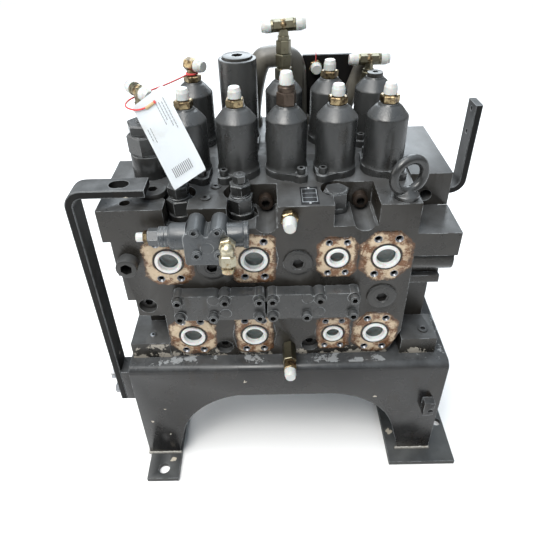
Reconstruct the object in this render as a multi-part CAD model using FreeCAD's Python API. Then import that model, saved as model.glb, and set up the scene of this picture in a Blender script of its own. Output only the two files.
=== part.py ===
import FreeCAD, Part
import math
import os

# Hydraulic valve block on its stand. X runs to the right, Y to the back, Z up, in millimetres.
# While it is drawn, x = 0 is the second upper port, y = 0 the port face and z = 0 the floor.
# At the end everything moves so that the origin is the middle of the footprint on the floor.

# Stand: a bent plate on two foot plates
plate_thickness = 10.0
foot_thickness = 10.0
stand_height = 259.0
stand_left = -232.0
stand_right = 337.0
stand_front = -33.0
stand_back = 376.0
bend_radius = 14.0
arch_top = 186.0
arch_left = -172.0
arch_right = 276.0
arch_flat_left = -40.0
arch_flat_right = 130.0
gusset_drop = 110.0
lug_depth = 16.0
lug_hole_radius = 4.5
left_foot_width = 62.0
left_foot_reach = 58.0
left_foot_hole_radius = 11.0
right_foot_left = 253.0
right_foot_width = 130.0
right_foot_reach = 32.0
right_foot_hole_radius = 9.0
foot_hole_inset = 22.0

# Spool housings
block_height = 308.0
housing_depth = 176.5
slab_depth = 59.0
block_left = -200.0
block_right = 250.0
flank_right = 302.0
upper_lug_left = -230.0
upper_lug_height = 55.0
upper_lug_right = -131.0
corner_lug_depth = 168.0
pocket_depth = 72.0
pocket_floor = 36.0
ledge_right = 318.0
ledge_drop = 53.0
ledge_thickness = 42.0
rib_radius = 21.5
foot_height = 35.0
side_block_front = 84.5
side_block_back = 276.0
side_block_right = 317.0
side_block_height = 57.0
side_block_rise = 4.0

# Spools, their caps and springs
cap_count = 5
cap_pitch = 77.2
first_cap_x = -99.3
spool_inset = 62.5
cap_flange_radius = 34.5
cap_flange_height = 12.0
cap_radius = 32.0
cap_shoulder_height = 92.0
cap_cone_height = 18.0
cap_crown_radius = 15.5
cap_wall = 7.0
ear_reach = 41.0
ear_angle = 58.0
ear_radius = 10.5
cap_screw_radius = 6.5
cap_screw_head = 11.0
tall_cap_height = 146.0
tall_plug_radius = 25.0
spool_radius = 14.0
spool_groove_radius = 9.0
spool_groove_width = 60.0
spool_clearance = 0.04
spool_travel = 9.0
spool_tail = 14.0
spool_end_gap = 2.0
spool_head_drop = 4.0
spring_outer_radius = 13.0
spring_inner_radius = 9.0
spring_seat_gap = 0.3
lower_cover_height = 34.0
lower_cover_width = 52.0
lower_cover_margin = 34.0
lower_cover_gap = 4.0

# Ports on the front face, with their flange bolt holes
upper_port_height = 214.5
lower_port_height = 51.0
large_bore_radius = 21.5
small_bore_radius = 17.5
port_depth = 45.0
large_bolt_width = 31.8
large_bolt_height = 66.7
large_bolt_radius = 6.0
small_bolt_width = 27.8
small_bolt_height = 57.2
small_bolt_radius = 5.1
bolt_depth = 24.0
pad_rise = 1.5
plug_wall = 5.8
plug_floor = 3.0
plug_length = 27.0
plug_proud = 2.5
fit_gap = 0.1

# Plugs, check valve covers and screws
face_plug_radius = 24.0
face_plug_proud = 3.0
spotface_depth = 5.0
face_plug_socket = 14.0
deep_plug_radius = 15.0
deep_plug_depth = 12.0
cover_left = -134.0
cover_width = 149.0
cover_gap = 3.5
cover_depth = 22.0
cover_bottom = 108.0
cover_height = 52.0
cover_notch = 14.0
screw_radius = 8.0
screw_head = 9.0
screw_inset = 9.0
tie_screw_radius = 12.0
tie_screw_head = 15.0
tie_screw_drop = 27.0
tie_screw_groove = 18.0
poppet_radius = 11.0
poppet_length = 30.0
poppet_bore_depth = 62.0

# Cartridges, eyebolt and pilot valve
cartridge_y = 48.0
cartridge_recess_radius = 26.0
eye_ring_radius = 28.0
eye_bar_radius = 8.0
eye_collar_radius = 20.0
eye_centre_height = 35.0
eye_turn = 32.0
pilot_left = -99.0
pilot_width = 66.0
pilot_depth = 44.0
pilot_top = 6.0
pilot_height = 64.0
barrel_radius = 20.0
barrel_drop = 26.0
elbow_leg = 28.0
corner_valve_x = -164.5
corner_valve_y = 121.0
corner_valve_radius = 30.0

# Small fittings and their screw caps
nipple_height = 13.0
adaptor_height = 31.0
neck_radius = 8.0
elbow_reach = 12.0
face_fitting_length = 14.0
standoff_length = 60.0
cap_nut_length = 16.0
cap_nut_radius = 10.5

# Bars, pipes and the tag
bar_width = 40.0
bar_thickness = 12.5
bar_bend_radius = 22.0
strap_foot_drop = 116.0
strap_rise = 33.0
spacer_height = 75.0
strap_offset = 28.0
strap_reach = 114.0
bracket_offset = 85.0
bracket_foot_drop = 100.0
bracket_rise = 165.0
pipe_radius = 19.0
pipe_offset = 76.0
over_pipe_height = 122.0
stub_radius = 14.0
stub_offset = 86.0
panel_thickness = 6.0
panel_height = 119.0
panel_offset = 104.0
panel_fitting_x = 118.0
panel_fitting_height = 99.0
panel_nut_length = 10.0
back_tee_height = 122.0
back_tee_offset = 56.0
tag_width = 59.0
tag_length = 138.0
tag_thickness = 0.8
tag_turn = 32.7
tag_lean = 35.4
tag_hole_inset = 15.0
loop_start = 24.0
loop_length = 10.0
loop_radius = 2.3
loop_gap = 0.06
string_radius = 1.3
neck_ring_height = 13.0

# Places worked out from the sizes above
deck = stand_height + block_height
block_back = 2 * housing_depth
front_row = housing_depth - spool_inset
rear_row = housing_depth + spool_inset
cap_columns = [first_cap_x + cap_pitch * number for number in range(cap_count)]
rear_caps = ["spring", "tall", "spring", "spring", "spring"]
tall_column = rear_caps.index("tall")
strap_top = deck + strap_rise
strap_foot_height = stand_height - strap_foot_drop
panel_front = rear_row + panel_offset
upper_ports = [(-134.5, "large"), (0.0, "large"), (130.0, "small"), (206.5, "large")]
lower_ports = [(-113.5, "large"), (-5.5, "large"), (131.5, "small"), (204.5, "large")]

up = FreeCAD.Vector(0, 0, 1)
down = FreeCAD.Vector(0, 0, -1)
right = FreeCAD.Vector(1, 0, 0)
left = FreeCAD.Vector(-1, 0, 0)
forward = FreeCAD.Vector(0, -1, 0)
backward = FreeCAD.Vector(0, 1, 0)


def at(x, y, z):
    return FreeCAD.Vector(x, y, z)


tag_corner = at(corner_valve_x - 7, corner_valve_y - 30, deck + 120.3)


def box(x0, x1, y0, y1, z0, z1):
    return Part.makeBox(x1 - x0, y1 - y0, z1 - z0, at(x0, y0, z0))


def rod(radius, length, start, direction=up):
    return Part.makeCylinder(radius, length, start, direction)


def tube(outer, inner, length, start, direction=up):
    return rod(outer, length, start, direction).cut(rod(inner, length, start, direction))


def taper(radius_start, radius_end, length, start, direction=up):
    return Part.makeCone(radius_start, radius_end, length, start, direction)


def hexagon(flats, length, start, direction=up, turn=0.0):
    radius = flats / math.sqrt(3)
    corners = []
    for number in range(7):
        angle = math.radians(60 * number + turn)
        corners.append(at(radius * math.cos(angle), radius * math.sin(angle), 0))
    prism = Part.Face(Part.makePolygon(corners)).extrude(at(0, 0, length))
    prism.Placement = FreeCAD.Placement(start, FreeCAD.Rotation(up, direction))
    return prism


def socket_head(radius, height, start, direction, socket):
    head = rod(radius, height, start, direction)
    depth = 0.55 * height
    mouth = start + direction * (height - depth)
    return head.cut(hexagon(socket, depth, mouth, direction))


def plate(points, y0, y1):
    outline = [at(x, y0, z) for x, z in points]
    outline.append(outline[0])
    return Part.Face(Part.makePolygon(outline)).extrude(at(0, y1 - y0, 0))


def joined(pieces):
    whole = pieces[0]
    for piece in pieces[1:]:
        whole = whole.fuse(piece)
    return whole.removeSplitter()


def without(shape, cutters):
    for cutter in cutters:
        shape = shape.cut(cutter)
    return shape


def group(pieces):
    return Part.makeCompound(pieces)


def arch_cutter():
    low = foot_thickness - 1
    knee = 0.39 * arch_top
    left_knee = arch_left + 17
    right_knee = arch_right - 22
    start = at(arch_left, 0, low)
    corner_left = at(left_knee, 0, knee)
    crown_left = at(arch_flat_left, 0, arch_top)
    crown_right = at(arch_flat_right, 0, arch_top)
    corner_right = at(right_knee, 0, knee + 17)
    end = at(arch_right, 0, low)
    middle_left = at(left_knee + 36, 0, knee + 72)
    middle_right = at(right_knee - 46, 0, knee + 85)
    edges = [
        Part.LineSegment(start, corner_left).toShape(),
        Part.Arc(corner_left, middle_left, crown_left).toShape(),
        Part.LineSegment(crown_left, crown_right).toShape(),
        Part.Arc(crown_right, middle_right, corner_right).toShape(),
        Part.LineSegment(corner_right, end).toShape(),
        Part.LineSegment(end, start).toShape(),
    ]
    opening = Part.Face(Part.Wire(edges))
    opening.translate(at(0, stand_front - 1, 0))
    return opening.extrude(at(0, stand_back - stand_front + 2, 0))


def bent_channel():
    outer = box(stand_left, stand_right, stand_front, stand_back, foot_thickness, stand_height)
    bends = []
    for edge in outer.Edges:
        along_x = abs(edge.Vertexes[0].X - edge.Vertexes[1].X) > 1
        if along_x and edge.Vertexes[0].Z > stand_height - 1:
            bends.append(edge)
    outer = outer.makeFillet(bend_radius, bends)
    inside = box(stand_left - 1, stand_right + 1, stand_front + plate_thickness,
                 stand_back - plate_thickness, foot_thickness - 1, stand_height - plate_thickness)
    return outer.cut(inside)


def cover_window(row):
    left_end = cap_columns[0] - lower_cover_margin - lower_cover_gap
    right_end = cap_columns[-1] + lower_cover_margin + lower_cover_gap
    half = lower_cover_width / 2 + lower_cover_gap
    return box(left_end, right_end, row - half, row + half,
               stand_height - plate_thickness - 1, stand_height + 1)


def stand_frame():
    frame = bent_channel()
    frame = without(frame, [arch_cutter(), cover_window(front_row), cover_window(rear_row)])
    low = stand_height - gusset_drop
    high = stand_height - plate_thickness
    ribs = []
    for x in (stand_left, stand_right - plate_thickness):
        ribs.append(box(x, x + plate_thickness, stand_front + plate_thickness,
                        stand_back - plate_thickness, low, high))
    spacer = box(stand_left - strap_offset, stand_left, 0, bar_width,
                 strap_foot_height, strap_foot_height + spacer_height)
    lug = box(stand_right - 34, stand_right - 15, stand_front - lug_depth, stand_front, 136, 170)
    lug = lug.cut(rod(lug_hole_radius, lug_depth, at(stand_right - 21, stand_front - lug_depth, 148), backward))
    return group([frame] + ribs + [spacer, lug])


def stand_feet():
    left_plate = box(stand_left + 3, stand_left + 3 + left_foot_width, stand_front - left_foot_reach,
                     stand_back + left_foot_reach, 0, foot_thickness)
    hole_x = stand_left + 3 + left_foot_width / 2
    for y in (stand_front - left_foot_reach + foot_hole_inset, stand_back + left_foot_reach - foot_hole_inset):
        left_plate = left_plate.cut(rod(left_foot_hole_radius, foot_thickness, at(hole_x, y, 0)))
    right_plate = box(right_foot_left, right_foot_left + right_foot_width, stand_front - right_foot_reach,
                      stand_back + right_foot_reach, 0, foot_thickness)
    hole_x = right_foot_left + right_foot_width - 13
    for y in (28, stand_back + stand_front - 28):
        right_plate = right_plate.cut(rod(right_foot_hole_radius, foot_thickness, at(hole_x, y, 0)))
    return group([left_plate, right_plate])


def pad_outline(centre_x, centre_z, size, pointed):
    half_width = 38 if size == "large" else 32
    half_height = 46 if size == "large" else 37
    flat = 17 if size == "large" else 22
    waist = 22 if pointed else 30
    return [
        (centre_x - flat, centre_z - half_height),
        (centre_x + flat, centre_z - half_height),
        (centre_x + half_width - 5, centre_z - waist),
        (centre_x + half_width, centre_z),
        (centre_x + half_width - 5, centre_z + waist),
        (centre_x + flat, centre_z + half_height),
        (centre_x - flat, centre_z + half_height),
        (centre_x - half_width + 5, centre_z + waist),
        (centre_x - half_width, centre_z),
        (centre_x - half_width + 5, centre_z - waist),
    ]


def port_places():
    places = [(x, stand_height + upper_port_height, size) for x, size in upper_ports]
    places += [(x, stand_height + lower_port_height, size) for x, size in lower_ports]
    return places


def port_pad(x, z, size):
    pad = plate(pad_outline(x, z, size, x > 100), -pad_rise, 1)
    floor = stand_height
    if z - 46 < floor:
        pad = pad.common(box(x - 60, x + 60, -5, 5, floor, z + 80))
    return pad


def port_cutters(x, z, size):
    large = size == "large"
    radius = large_bore_radius if large else small_bore_radius
    half_width = (large_bolt_width if large else small_bolt_width) / 2
    half_height = (large_bolt_height if large else small_bolt_height) / 2
    bolt_radius = large_bolt_radius if large else small_bolt_radius
    cutters = [rod(radius, port_depth + pad_rise, at(x, -pad_rise, z), backward)]
    for dx in (-half_width, half_width):
        for dz in (-half_height, half_height):
            cutters.append(rod(bolt_radius, bolt_depth + pad_rise, at(x + dx, -pad_rise, z + dz), backward))
    return cutters


def front_outline():
    base = stand_height
    lug_floor = deck - upper_lug_height
    return [
        (block_left, base),
        (block_right - 20, base),
        (block_right, base + 54),
        (block_right, deck),
        (upper_lug_left, deck),
        (upper_lug_left, lug_floor),
        (block_left - 18, lug_floor),
        (block_left - 18, lug_floor - 65),
        (block_left - 13, lug_floor - 65),
        (block_left - 13, lug_floor - 117),
        (block_left, lug_floor - 117),
    ]


def top_pockets():
    floor = deck - pocket_floor
    high = deck + 1
    wide = block_right
    cutters = []
    cutters.append(box(upper_lug_right, -95, -1, 50, floor, high))
    cutters.append(box(-37, 38, -1, pocket_depth, floor, high))
    cutters.append(box(122, wide - 61, -1, pocket_depth, floor, high))
    for x in (-112, -18):
        cutters.append(rod(cartridge_recess_radius, 60, at(x, cartridge_y, floor - 10)))
    cutters.append(rod(25, 60, at(129.5, 52, floor)))
    for x in tie_screw_columns():
        groove = rod(tie_screw_groove, pocket_depth + 1, at(x, -1, deck - tie_screw_drop), backward)
        cutters.append(groove)
    return cutters


def tie_screw_columns():
    return [20.5, 169.5]


def spool_bores(row):
    bores = []
    for number, x in enumerate(cap_columns):
        if row == rear_row and number == tall_column:
            continue
        start = at(x, row, stand_height - 1)
        bores.append(rod(spool_radius + spool_clearance, block_height + 2, start))
    return bores


def face_plug_places():
    base = stand_height
    return [(-67.0, base + 202, 24), (68.7, base + 206, 23), (207.5, base + 133, 24)]


def deep_plug_places():
    base = stand_height
    return [(91.7, base + 24), (-59.9, base + 22), (-181.5, base + 123)]


def poppet_places():
    z = stand_height + cover_bottom + cover_height / 2
    return [cover_left + cover_width / 2, cover_left + 1.5 * cover_width + cover_gap], z


def rear_plug_places():
    z = stand_height + upper_port_height
    return [(x, z) for x, size in upper_ports if size == "large"]


def front_housing():
    base = stand_height
    body = plate(front_outline(), 0, slab_depth)
    deep = box(block_left, flank_right, slab_depth, housing_depth, base, deck - ledge_drop)
    crown = box(block_left, block_right, slab_depth, housing_depth, base, deck)
    corner = box(upper_lug_left, block_left + 1, 0, corner_lug_depth, deck - upper_lug_height, deck)
    ledge_top = deck - ledge_drop
    ledge_low = ledge_top - ledge_thickness
    ledge = box(block_right - 1, ledge_right, 0, side_block_front, ledge_low, ledge_top)
    rib = rod(rib_radius, ledge_right - 3 - block_right + 1,
              at(block_right - 1, rib_radius + 2, ledge_low - rib_radius + 6), right)
    step = box(block_right - 1, flank_right, 14, slab_depth + 1, ledge_low - 64, ledge_low - 50)
    web = box(block_right - 1, flank_right, 24, slab_depth + 1, ledge_low - 64, ledge_low + 1)
    left_foot = box(upper_lug_left + 3, -158, -2, 78, base, base + foot_height)
    right_foot = box(block_right + 3, side_block_right - 1, -4, slab_depth + 1, base, base + foot_height)
    body = joined([body, deep, crown, corner, ledge, rib, step, web, left_foot, right_foot])
    body = joined([body] + [port_pad(*place) for place in port_places()])
    cutters = top_pockets() + spool_bores(front_row)
    for place in port_places():
        cutters += port_cutters(*place)
    for x, z, radius in face_plug_places():
        cutters.append(rod(radius + fit_gap, spotface_depth + pad_rise, at(x, -pad_rise, z), backward))
    for x, z in deep_plug_places():
        cutters.append(rod(deep_plug_radius, deep_plug_depth + 6 + pad_rise, at(x, -pad_rise, z), backward))
    columns, z = poppet_places()
    for x in columns:
        cutters.append(rod(poppet_radius + spool_clearance, poppet_bore_depth, at(x, -pad_rise, z), backward))
    cutters.append(rod(8, 20, at(-190.8, 22.5, deck - 20)))
    cutters.append(box(pilot_left - 1, pilot_left + pilot_width + 1, -pad_rise - 1, 0,
                       deck - pilot_top - pilot_height - 1, deck))
    return without(body, cutters)


def rear_housing():
    base = stand_height
    crown = box(block_left, block_right, housing_depth, block_back, base, deck)
    deep = box(block_left, flank_right, housing_depth, block_back - slab_depth, base, deck - ledge_drop)
    shelf = box(flank_right - 1, flank_right + 40, rear_row - 36, rear_row + 40,
                base + 60, deck - bracket_foot_drop - bar_thickness)
    body = joined([crown, deep, shelf])
    cutters = spool_bores(rear_row)
    for x, z in rear_plug_places():
        cutters.append(rod(face_plug_radius + fit_gap, spotface_depth, at(x, block_back, z), forward))
    return without(body, cutters)


def side_block():
    low = deck + side_block_rise - side_block_height
    high = deck + side_block_rise
    body = box(block_right + 0.3, side_block_right, side_block_front + 0.3, side_block_back, low, high)
    body = body.cut(box(block_right, flank_right + 0.3, side_block_front, side_block_back, low - 1, deck - ledge_drop + 0.3))
    hole = rod(10, 30, at(278.5, side_block_front, 532), backward)
    return body.cut(hole)


def lower_covers():
    bars = []
    for row in (front_row, rear_row):
        half = lower_cover_width / 2
        bar = box(cap_columns[0] - lower_cover_margin, cap_columns[-1] + lower_cover_margin,
                  row - half, row + half, stand_height - lower_cover_height, stand_height)
        depth = spool_tail + spool_travel + spool_end_gap
        room = spool_radius + 2
        gallery = box(cap_columns[0] - room, cap_columns[-1] + room, row - room, row + room,
                      stand_height - depth, stand_height)
        bars.append(bar.cut(gallery))
    return group(bars)


def ear_direction(number, row):
    side = 1 if number % 2 == 0 else -1
    front = -1 if row == front_row else 1
    angle = math.radians(ear_angle)
    return at(side * math.cos(angle), front * math.sin(angle), 0)


def cap_flange(x, row, number):
    centre = at(x, row, deck)
    reach = ear_direction(number, row) * ear_reach
    disc = rod(cap_flange_radius, cap_flange_height, centre)
    pieces = [disc]
    for sign in (-1, 1):
        ear_centre = centre + reach * sign
        pieces.append(rod(ear_radius, cap_flange_height, ear_centre))
        across = reach.cross(up).normalize()
        corners = [
            centre + across * (cap_flange_radius - 4),
            ear_centre + across * (ear_radius - 0.5),
            ear_centre - across * (ear_radius - 0.5),
            centre - across * (cap_flange_radius - 4),
        ]
        corners.append(corners[0])
        pieces.append(Part.Face(Part.makePolygon(corners)).extrude(up * cap_flange_height))
    return joined(pieces)


def spring_cap(x, row, number):
    foot = deck + cap_flange_height
    shoulder = deck + cap_shoulder_height
    body = joined([
        cap_flange(x, row, number),
        rod(cap_radius, shoulder - foot, at(x, row, foot)),
        taper(cap_radius, cap_crown_radius, cap_cone_height, at(x, row, shoulder)),
    ])
    return body.cut(rod(cap_radius - cap_wall, shoulder - deck, at(x, row, deck)))


def tall_cap():
    x = cap_columns[tall_column]
    body = joined([
        cap_flange(x, rear_row, tall_column),
        rod(cap_radius, tall_cap_height, at(x, rear_row, deck)),
    ])
    hollow = rod(tall_plug_radius + fit_gap, tall_cap_height - 20, at(x, rear_row, deck + 20))
    return body.cut(hollow)


def spool(x, row):
    base = stand_height
    low = base - spool_tail
    body = rod(spool_radius, deck - spool_head_drop - low, at(x, row, low))
    groove = base + lower_port_height + spool_groove_width
    waist = tube(spool_radius + 1, spool_groove_radius, spool_groove_width, at(x, row, groove))
    return body.cut(waist)


def centring_spring(x, row):
    low = deck - spool_head_drop + spring_seat_gap
    length = cap_shoulder_height + spool_head_drop - 2 * spring_seat_gap
    return tube(spring_outer_radius, spring_inner_radius, length, at(x, row, low))


def cap_screws():
    screws = []
    for row in (front_row, rear_row):
        for number, x in enumerate(cap_columns):
            reach = ear_direction(number, row) * ear_reach
            for sign in (-1, 1):
                seat = at(x, row, deck + cap_flange_height) + reach * sign
                screws.append(rod(cap_screw_radius, cap_screw_head, seat))
    return group(screws)


def port_plugs():
    plugs = []
    for x, z, size in port_places():
        bore = large_bore_radius if size == "large" else small_bore_radius
        outer = bore - fit_gap
        start = at(x, -pad_rise - plug_proud, z)
        hollow = rod(outer - plug_wall, plug_length - plug_floor, start, backward)
        plugs.append(rod(outer, plug_length, start, backward).cut(hollow))
    return group(plugs)


def deck_plug_places():
    return [(-152.0, 50.0, 21.0, 8.0, 14.0), (cap_columns[-1], rear_row, 13.5, 7.0, 9.0)]


def socket_plugs():
    plugs = []
    for x, z, radius in face_plug_places():
        depth = spotface_depth + face_plug_proud
        plugs.append(socket_head(radius, depth, at(x, spotface_depth, z), forward, face_plug_socket))
    for x, z in rear_plug_places():
        depth = spotface_depth + face_plug_proud
        plugs.append(socket_head(face_plug_radius, depth, at(x, block_back - spotface_depth, z),
                                 backward, face_plug_socket))
    for x, z in deep_plug_places():
        start = at(x, deep_plug_depth + 6, z)
        plugs.append(socket_head(deep_plug_radius - fit_gap, 8, start, forward, 12))
    x, y, radius, height, socket = deck_plug_places()[0]
    plugs.append(socket_head(radius, height, at(x, y, deck), up, socket))
    x, y, radius, height, socket = deck_plug_places()[1]
    crown = deck + cap_shoulder_height + cap_cone_height
    plugs.append(socket_head(radius, height, at(x, y, crown), up, socket))
    top = deck + tall_cap_height
    x = cap_columns[tall_column]
    plugs.append(socket_head(tall_plug_radius, 44, at(x, rear_row, top - 40), up, 17))
    return group(plugs)


def check_cover(number):
    x0 = cover_left + number * (cover_width + cover_gap)
    x1 = x0 + cover_width
    z0 = stand_height + cover_bottom
    z1 = z0 + cover_height
    middle = (x0 + x1) / 2 + 8
    outline = [
        (x0, z0), (x1, z0), (x1, z1),
        (middle + cover_notch, z1), (middle + cover_notch - 6, z1 - 6),
        (middle - cover_notch + 6, z1 - 6), (middle - cover_notch, z1),
        (x0, z1),
    ]
    return plate(outline, -pad_rise - cover_depth, -pad_rise)


def cover_screw_places(number):
    x0 = cover_left + number * (cover_width + cover_gap)
    z0 = stand_height + cover_bottom
    top = z0 + cover_height - screw_inset
    low = z0 + screw_inset
    places = [(x0 + screw_inset, top), (x0 + 0.57 * cover_width, top), (x0 + cover_width - screw_inset, top)]
    places += [(x0 + screw_inset, low), (x0 + 0.43 * cover_width, low), (x0 + cover_width - screw_inset, low)]
    return places


def cover_screws():
    screws = []
    face = -pad_rise - cover_depth
    for number in (0, 1):
        for x, z in cover_screw_places(number):
            screws.append(rod(screw_radius, screw_head, at(x, face, z), forward))
    return group(screws)


def check_poppet(x, z):
    seat = poppet_bore_depth - pad_rise - 2
    body = rod(poppet_radius, poppet_length - 8, at(x, seat - poppet_length, z), backward)
    nose = taper(poppet_radius, poppet_radius - 7, 8, at(x, seat - 8, z), backward)
    return body.fuse(nose)


def poppet_spring(x, z):
    seat = poppet_bore_depth - pad_rise - 2
    length = seat - poppet_length + pad_rise - 2 * spring_seat_gap
    return tube(poppet_radius - 2, poppet_radius - 4, length, at(x, -pad_rise + spring_seat_gap, z), backward)


def tie_screws():
    screws = []
    for x in tie_screw_columns():
        start = at(x, pocket_depth, deck - tie_screw_drop)
        screws.append(socket_head(tie_screw_radius, tie_screw_head, start, forward, 12))
    big = at(-197.0, 0, stand_height + 215)
    screws.append(socket_head(16.5, 20, big, forward, 17))
    return group(screws)


def relief_cartridge(x):
    base = deck - pocket_floor - 10
    return joined([
        rod(20, 16, at(x, cartridge_y, base)),
        hexagon(36, 24, at(x, cartridge_y, base + 16), up, 10),
        rod(15.5, 24, at(x, cartridge_y, base + 40)),
        hexagon(30, 16, at(x, cartridge_y, base + 46), up, 25),
        hexagon(19, 13, at(x, cartridge_y, base + 64), up, 5),
    ])


def hex_cap():
    seat = at(129.5, 52, deck - pocket_floor)
    return rod(20, 9, seat).fuse(hexagon(36, pocket_floor - 9, seat + up * 9, up, 12))


def deck_cartridges():
    return group([relief_cartridge(x) for x in (-112, -18)] + [hex_cap()])


def nameplate():
    return box(73, 100, 5, front_row - 57, deck, deck + 1.2)


def eyebolt():
    seat = deck
    x = 229.0
    y = 20.0
    collar = rod(eye_collar_radius, 8, at(x, y, seat))
    neck = taper(eye_collar_radius - 4, 11, 10, at(x, y, seat + 8))
    centre = at(x, y, seat + eye_centre_height)
    section = []
    for number in range(9):
        angle = math.radians(45 * number + 22.5)
        section.append(at(eye_ring_radius + eye_bar_radius * math.cos(angle), eye_bar_radius * math.sin(angle), 0))
    ring = Part.Face(Part.makePolygon(section)).revolve(at(0, 0, 0), backward, 360)
    ring.rotate(at(0, 0, 0), up, eye_turn)
    ring.translate(centre)
    lifted = rod(eye_collar_radius, 200, at(x, y, seat - 200))
    return joined([collar, neck, ring]).cut(lifted)


def pilot_valve():
    high = deck - pilot_top
    low = high - pilot_height
    right_end = pilot_left + pilot_width
    body = box(pilot_left, right_end, -pilot_depth, 0, low, high - 12)
    lobes = []
    for x in (pilot_left + 18, right_end - 15):
        lobes.append(rod(11, pilot_depth, at(x, 0, high - 11), forward))
        lobes.append(box(x - 11, x + 11, -pilot_depth, 0, low, high - 11))
    axis_z = high - barrel_drop
    left_barrel = rod(barrel_radius, 22, at(pilot_left, -barrel_radius - 2, axis_z), left)
    right_barrel = rod(barrel_radius - 2, 26, at(right_end, -barrel_radius - 2, axis_z), right)
    end_flange = rod(barrel_radius, 6, at(right_end + 22, -barrel_radius - 2, axis_z), right)
    return joined([body] + lobes + [left_barrel, right_barrel, end_flange])


def pilot_adjuster():
    axis_z = deck - pilot_top - barrel_drop
    y = -barrel_radius - 2
    x = pilot_left - 22
    return joined([
        rod(15.5, 15, at(x, y, axis_z), left),
        hexagon(23, 16, at(x - 15, y, axis_z), left),
        hexagon(17, 7, at(x - 31, y, axis_z), left, 15),
        rod(7, 11, at(x - 38, y, axis_z), left),
    ])


def pilot_elbow():
    x = pilot_left + pilot_width - 2
    axis_z = deck - pilot_top - barrel_drop
    y = -pilot_depth
    stub = hexagon(22, 12, at(x, y, axis_z), forward)
    knee = Part.makeSphere(11, at(x, y - 14, axis_z - 2))
    drop = at(0, -0.35, -1).normalize()
    leg = hexagon(22, elbow_leg, at(x, y - 13, axis_z - 2), drop)
    end = rod(9, 8, at(x, y - 13, axis_z - 2) + drop * elbow_leg, drop)
    return joined([stub, knee, leg, end])


def corner_valve():
    x = corner_valve_x
    y = corner_valve_y
    return joined([
        rod(corner_valve_radius, 39, at(x, y, deck)),
        hexagon(54, 32, at(x, y, deck + 39), up, 20),
        hexagon(50, 17, at(x, y, deck + 71), up, 50),
        rod(9, 24, at(x, y, deck + 88)),
    ])


def crown_height():
    return deck + cap_shoulder_height + cap_cone_height


def low_nipple_places():
    places = [(cap_columns[number], front_row) for number in (0, 1, 3, 4)]
    return places + [(cap_columns[3], rear_row)]


def low_nipple(x, y):
    return hexagon(26, nipple_height, at(x, y, crown_height()), up, 15)


def front_adaptor():
    seat = at(cap_columns[2], front_row, crown_height())
    collar = 8
    hexed = adaptor_height - collar
    return hexagon(27, hexed, seat, up, 15).fuse(rod(12.5, collar, seat + up * hexed))


def tee_places():
    return [
        (at(cap_columns[2], rear_row, crown_height() + 84), at(1, 0, 0.06).normalize(), 20),
        (at(corner_valve_x, corner_valve_y, deck + 134), at(0.7, -0.72, -0.1).normalize(), 12),
        (at(208, rear_row + back_tee_offset, deck + back_tee_height), right, 20),
    ]


def tee(centre, direction, reach):
    run = hexagon(2 * neck_radius + 4, 2 * reach, centre - direction * reach, direction)
    return run.fuse(rod(neck_radius, 22, centre + down * 22, up))


def rear_tee_adaptor():
    seat = at(cap_columns[2], rear_row, crown_height())
    return hexagon(26, 42, seat).fuse(hexagon(22, 20, seat + up * 42))


def elbow_centre():
    return at(cap_columns[0], rear_row, crown_height() + 27)


def elbow_axis():
    return at(0.8, -0.6, 0).normalize()


def elbow_fitting():
    seat = at(cap_columns[0], rear_row, crown_height())
    centre = elbow_centre()
    nut_height = 10
    return joined([
        hexagon(26, nut_height, seat, up, 15),
        rod(neck_radius, centre.z - seat.z - nut_height, seat + up * nut_height),
        hexagon(2 * neck_radius + 3, 22, centre - elbow_axis() * (elbow_reach - 2), elbow_axis()),
    ])


def face_fitting_seat():
    return at(55, 0, stand_height + 291)


def face_standoff_seat():
    return at(54.3, 0, stand_height + 22)


def panel_fitting_seat():
    return at(panel_fitting_x, panel_front, deck + panel_fitting_height)


def back_tee_stack():
    foot = at(208, rear_row + back_tee_offset, deck)
    return hexagon(24, back_tee_height - 20, foot)


def cap_fittings():
    fittings = [low_nipple(x, y) for x, y in low_nipple_places()]
    fittings.append(front_adaptor())
    fittings.append(elbow_fitting())
    fittings.append(hexagon(24, face_fitting_length, face_fitting_seat(), forward))
    fittings.append(hexagon(21, standoff_length, face_standoff_seat(), forward))
    fittings.append(hexagon(22, panel_nut_length, panel_fitting_seat(), forward))
    stacks = [rear_tee_adaptor(), None, back_tee_stack()]
    for (centre, direction, reach), stack in zip(tee_places(), stacks):
        branch = tee(centre, direction, reach)
        fittings.append(branch.fuse(stack) if stack else branch)
    return group(fittings)


def screw_cap(seat, direction, length=cap_nut_length):
    return rod(cap_nut_radius, length, seat, direction)


def protective_caps():
    caps = []
    for x, y in low_nipple_places():
        caps.append(screw_cap(at(x, y, crown_height() + nipple_height), up))
    caps.append(screw_cap(at(cap_columns[2], front_row, crown_height() + adaptor_height), up, 18))
    for centre, direction, reach in tee_places():
        for sign in (-1, 1):
            caps.append(screw_cap(centre + direction * (sign * reach), direction * sign))
    caps.append(screw_cap(elbow_centre() + elbow_axis() * elbow_reach, elbow_axis()))
    caps.append(screw_cap(face_fitting_seat() + forward * face_fitting_length, forward, 20))
    caps.append(screw_cap(face_standoff_seat() + forward * standoff_length, forward))
    caps.append(screw_cap(panel_fitting_seat() + forward * panel_nut_length, forward))
    return group(caps)


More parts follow.
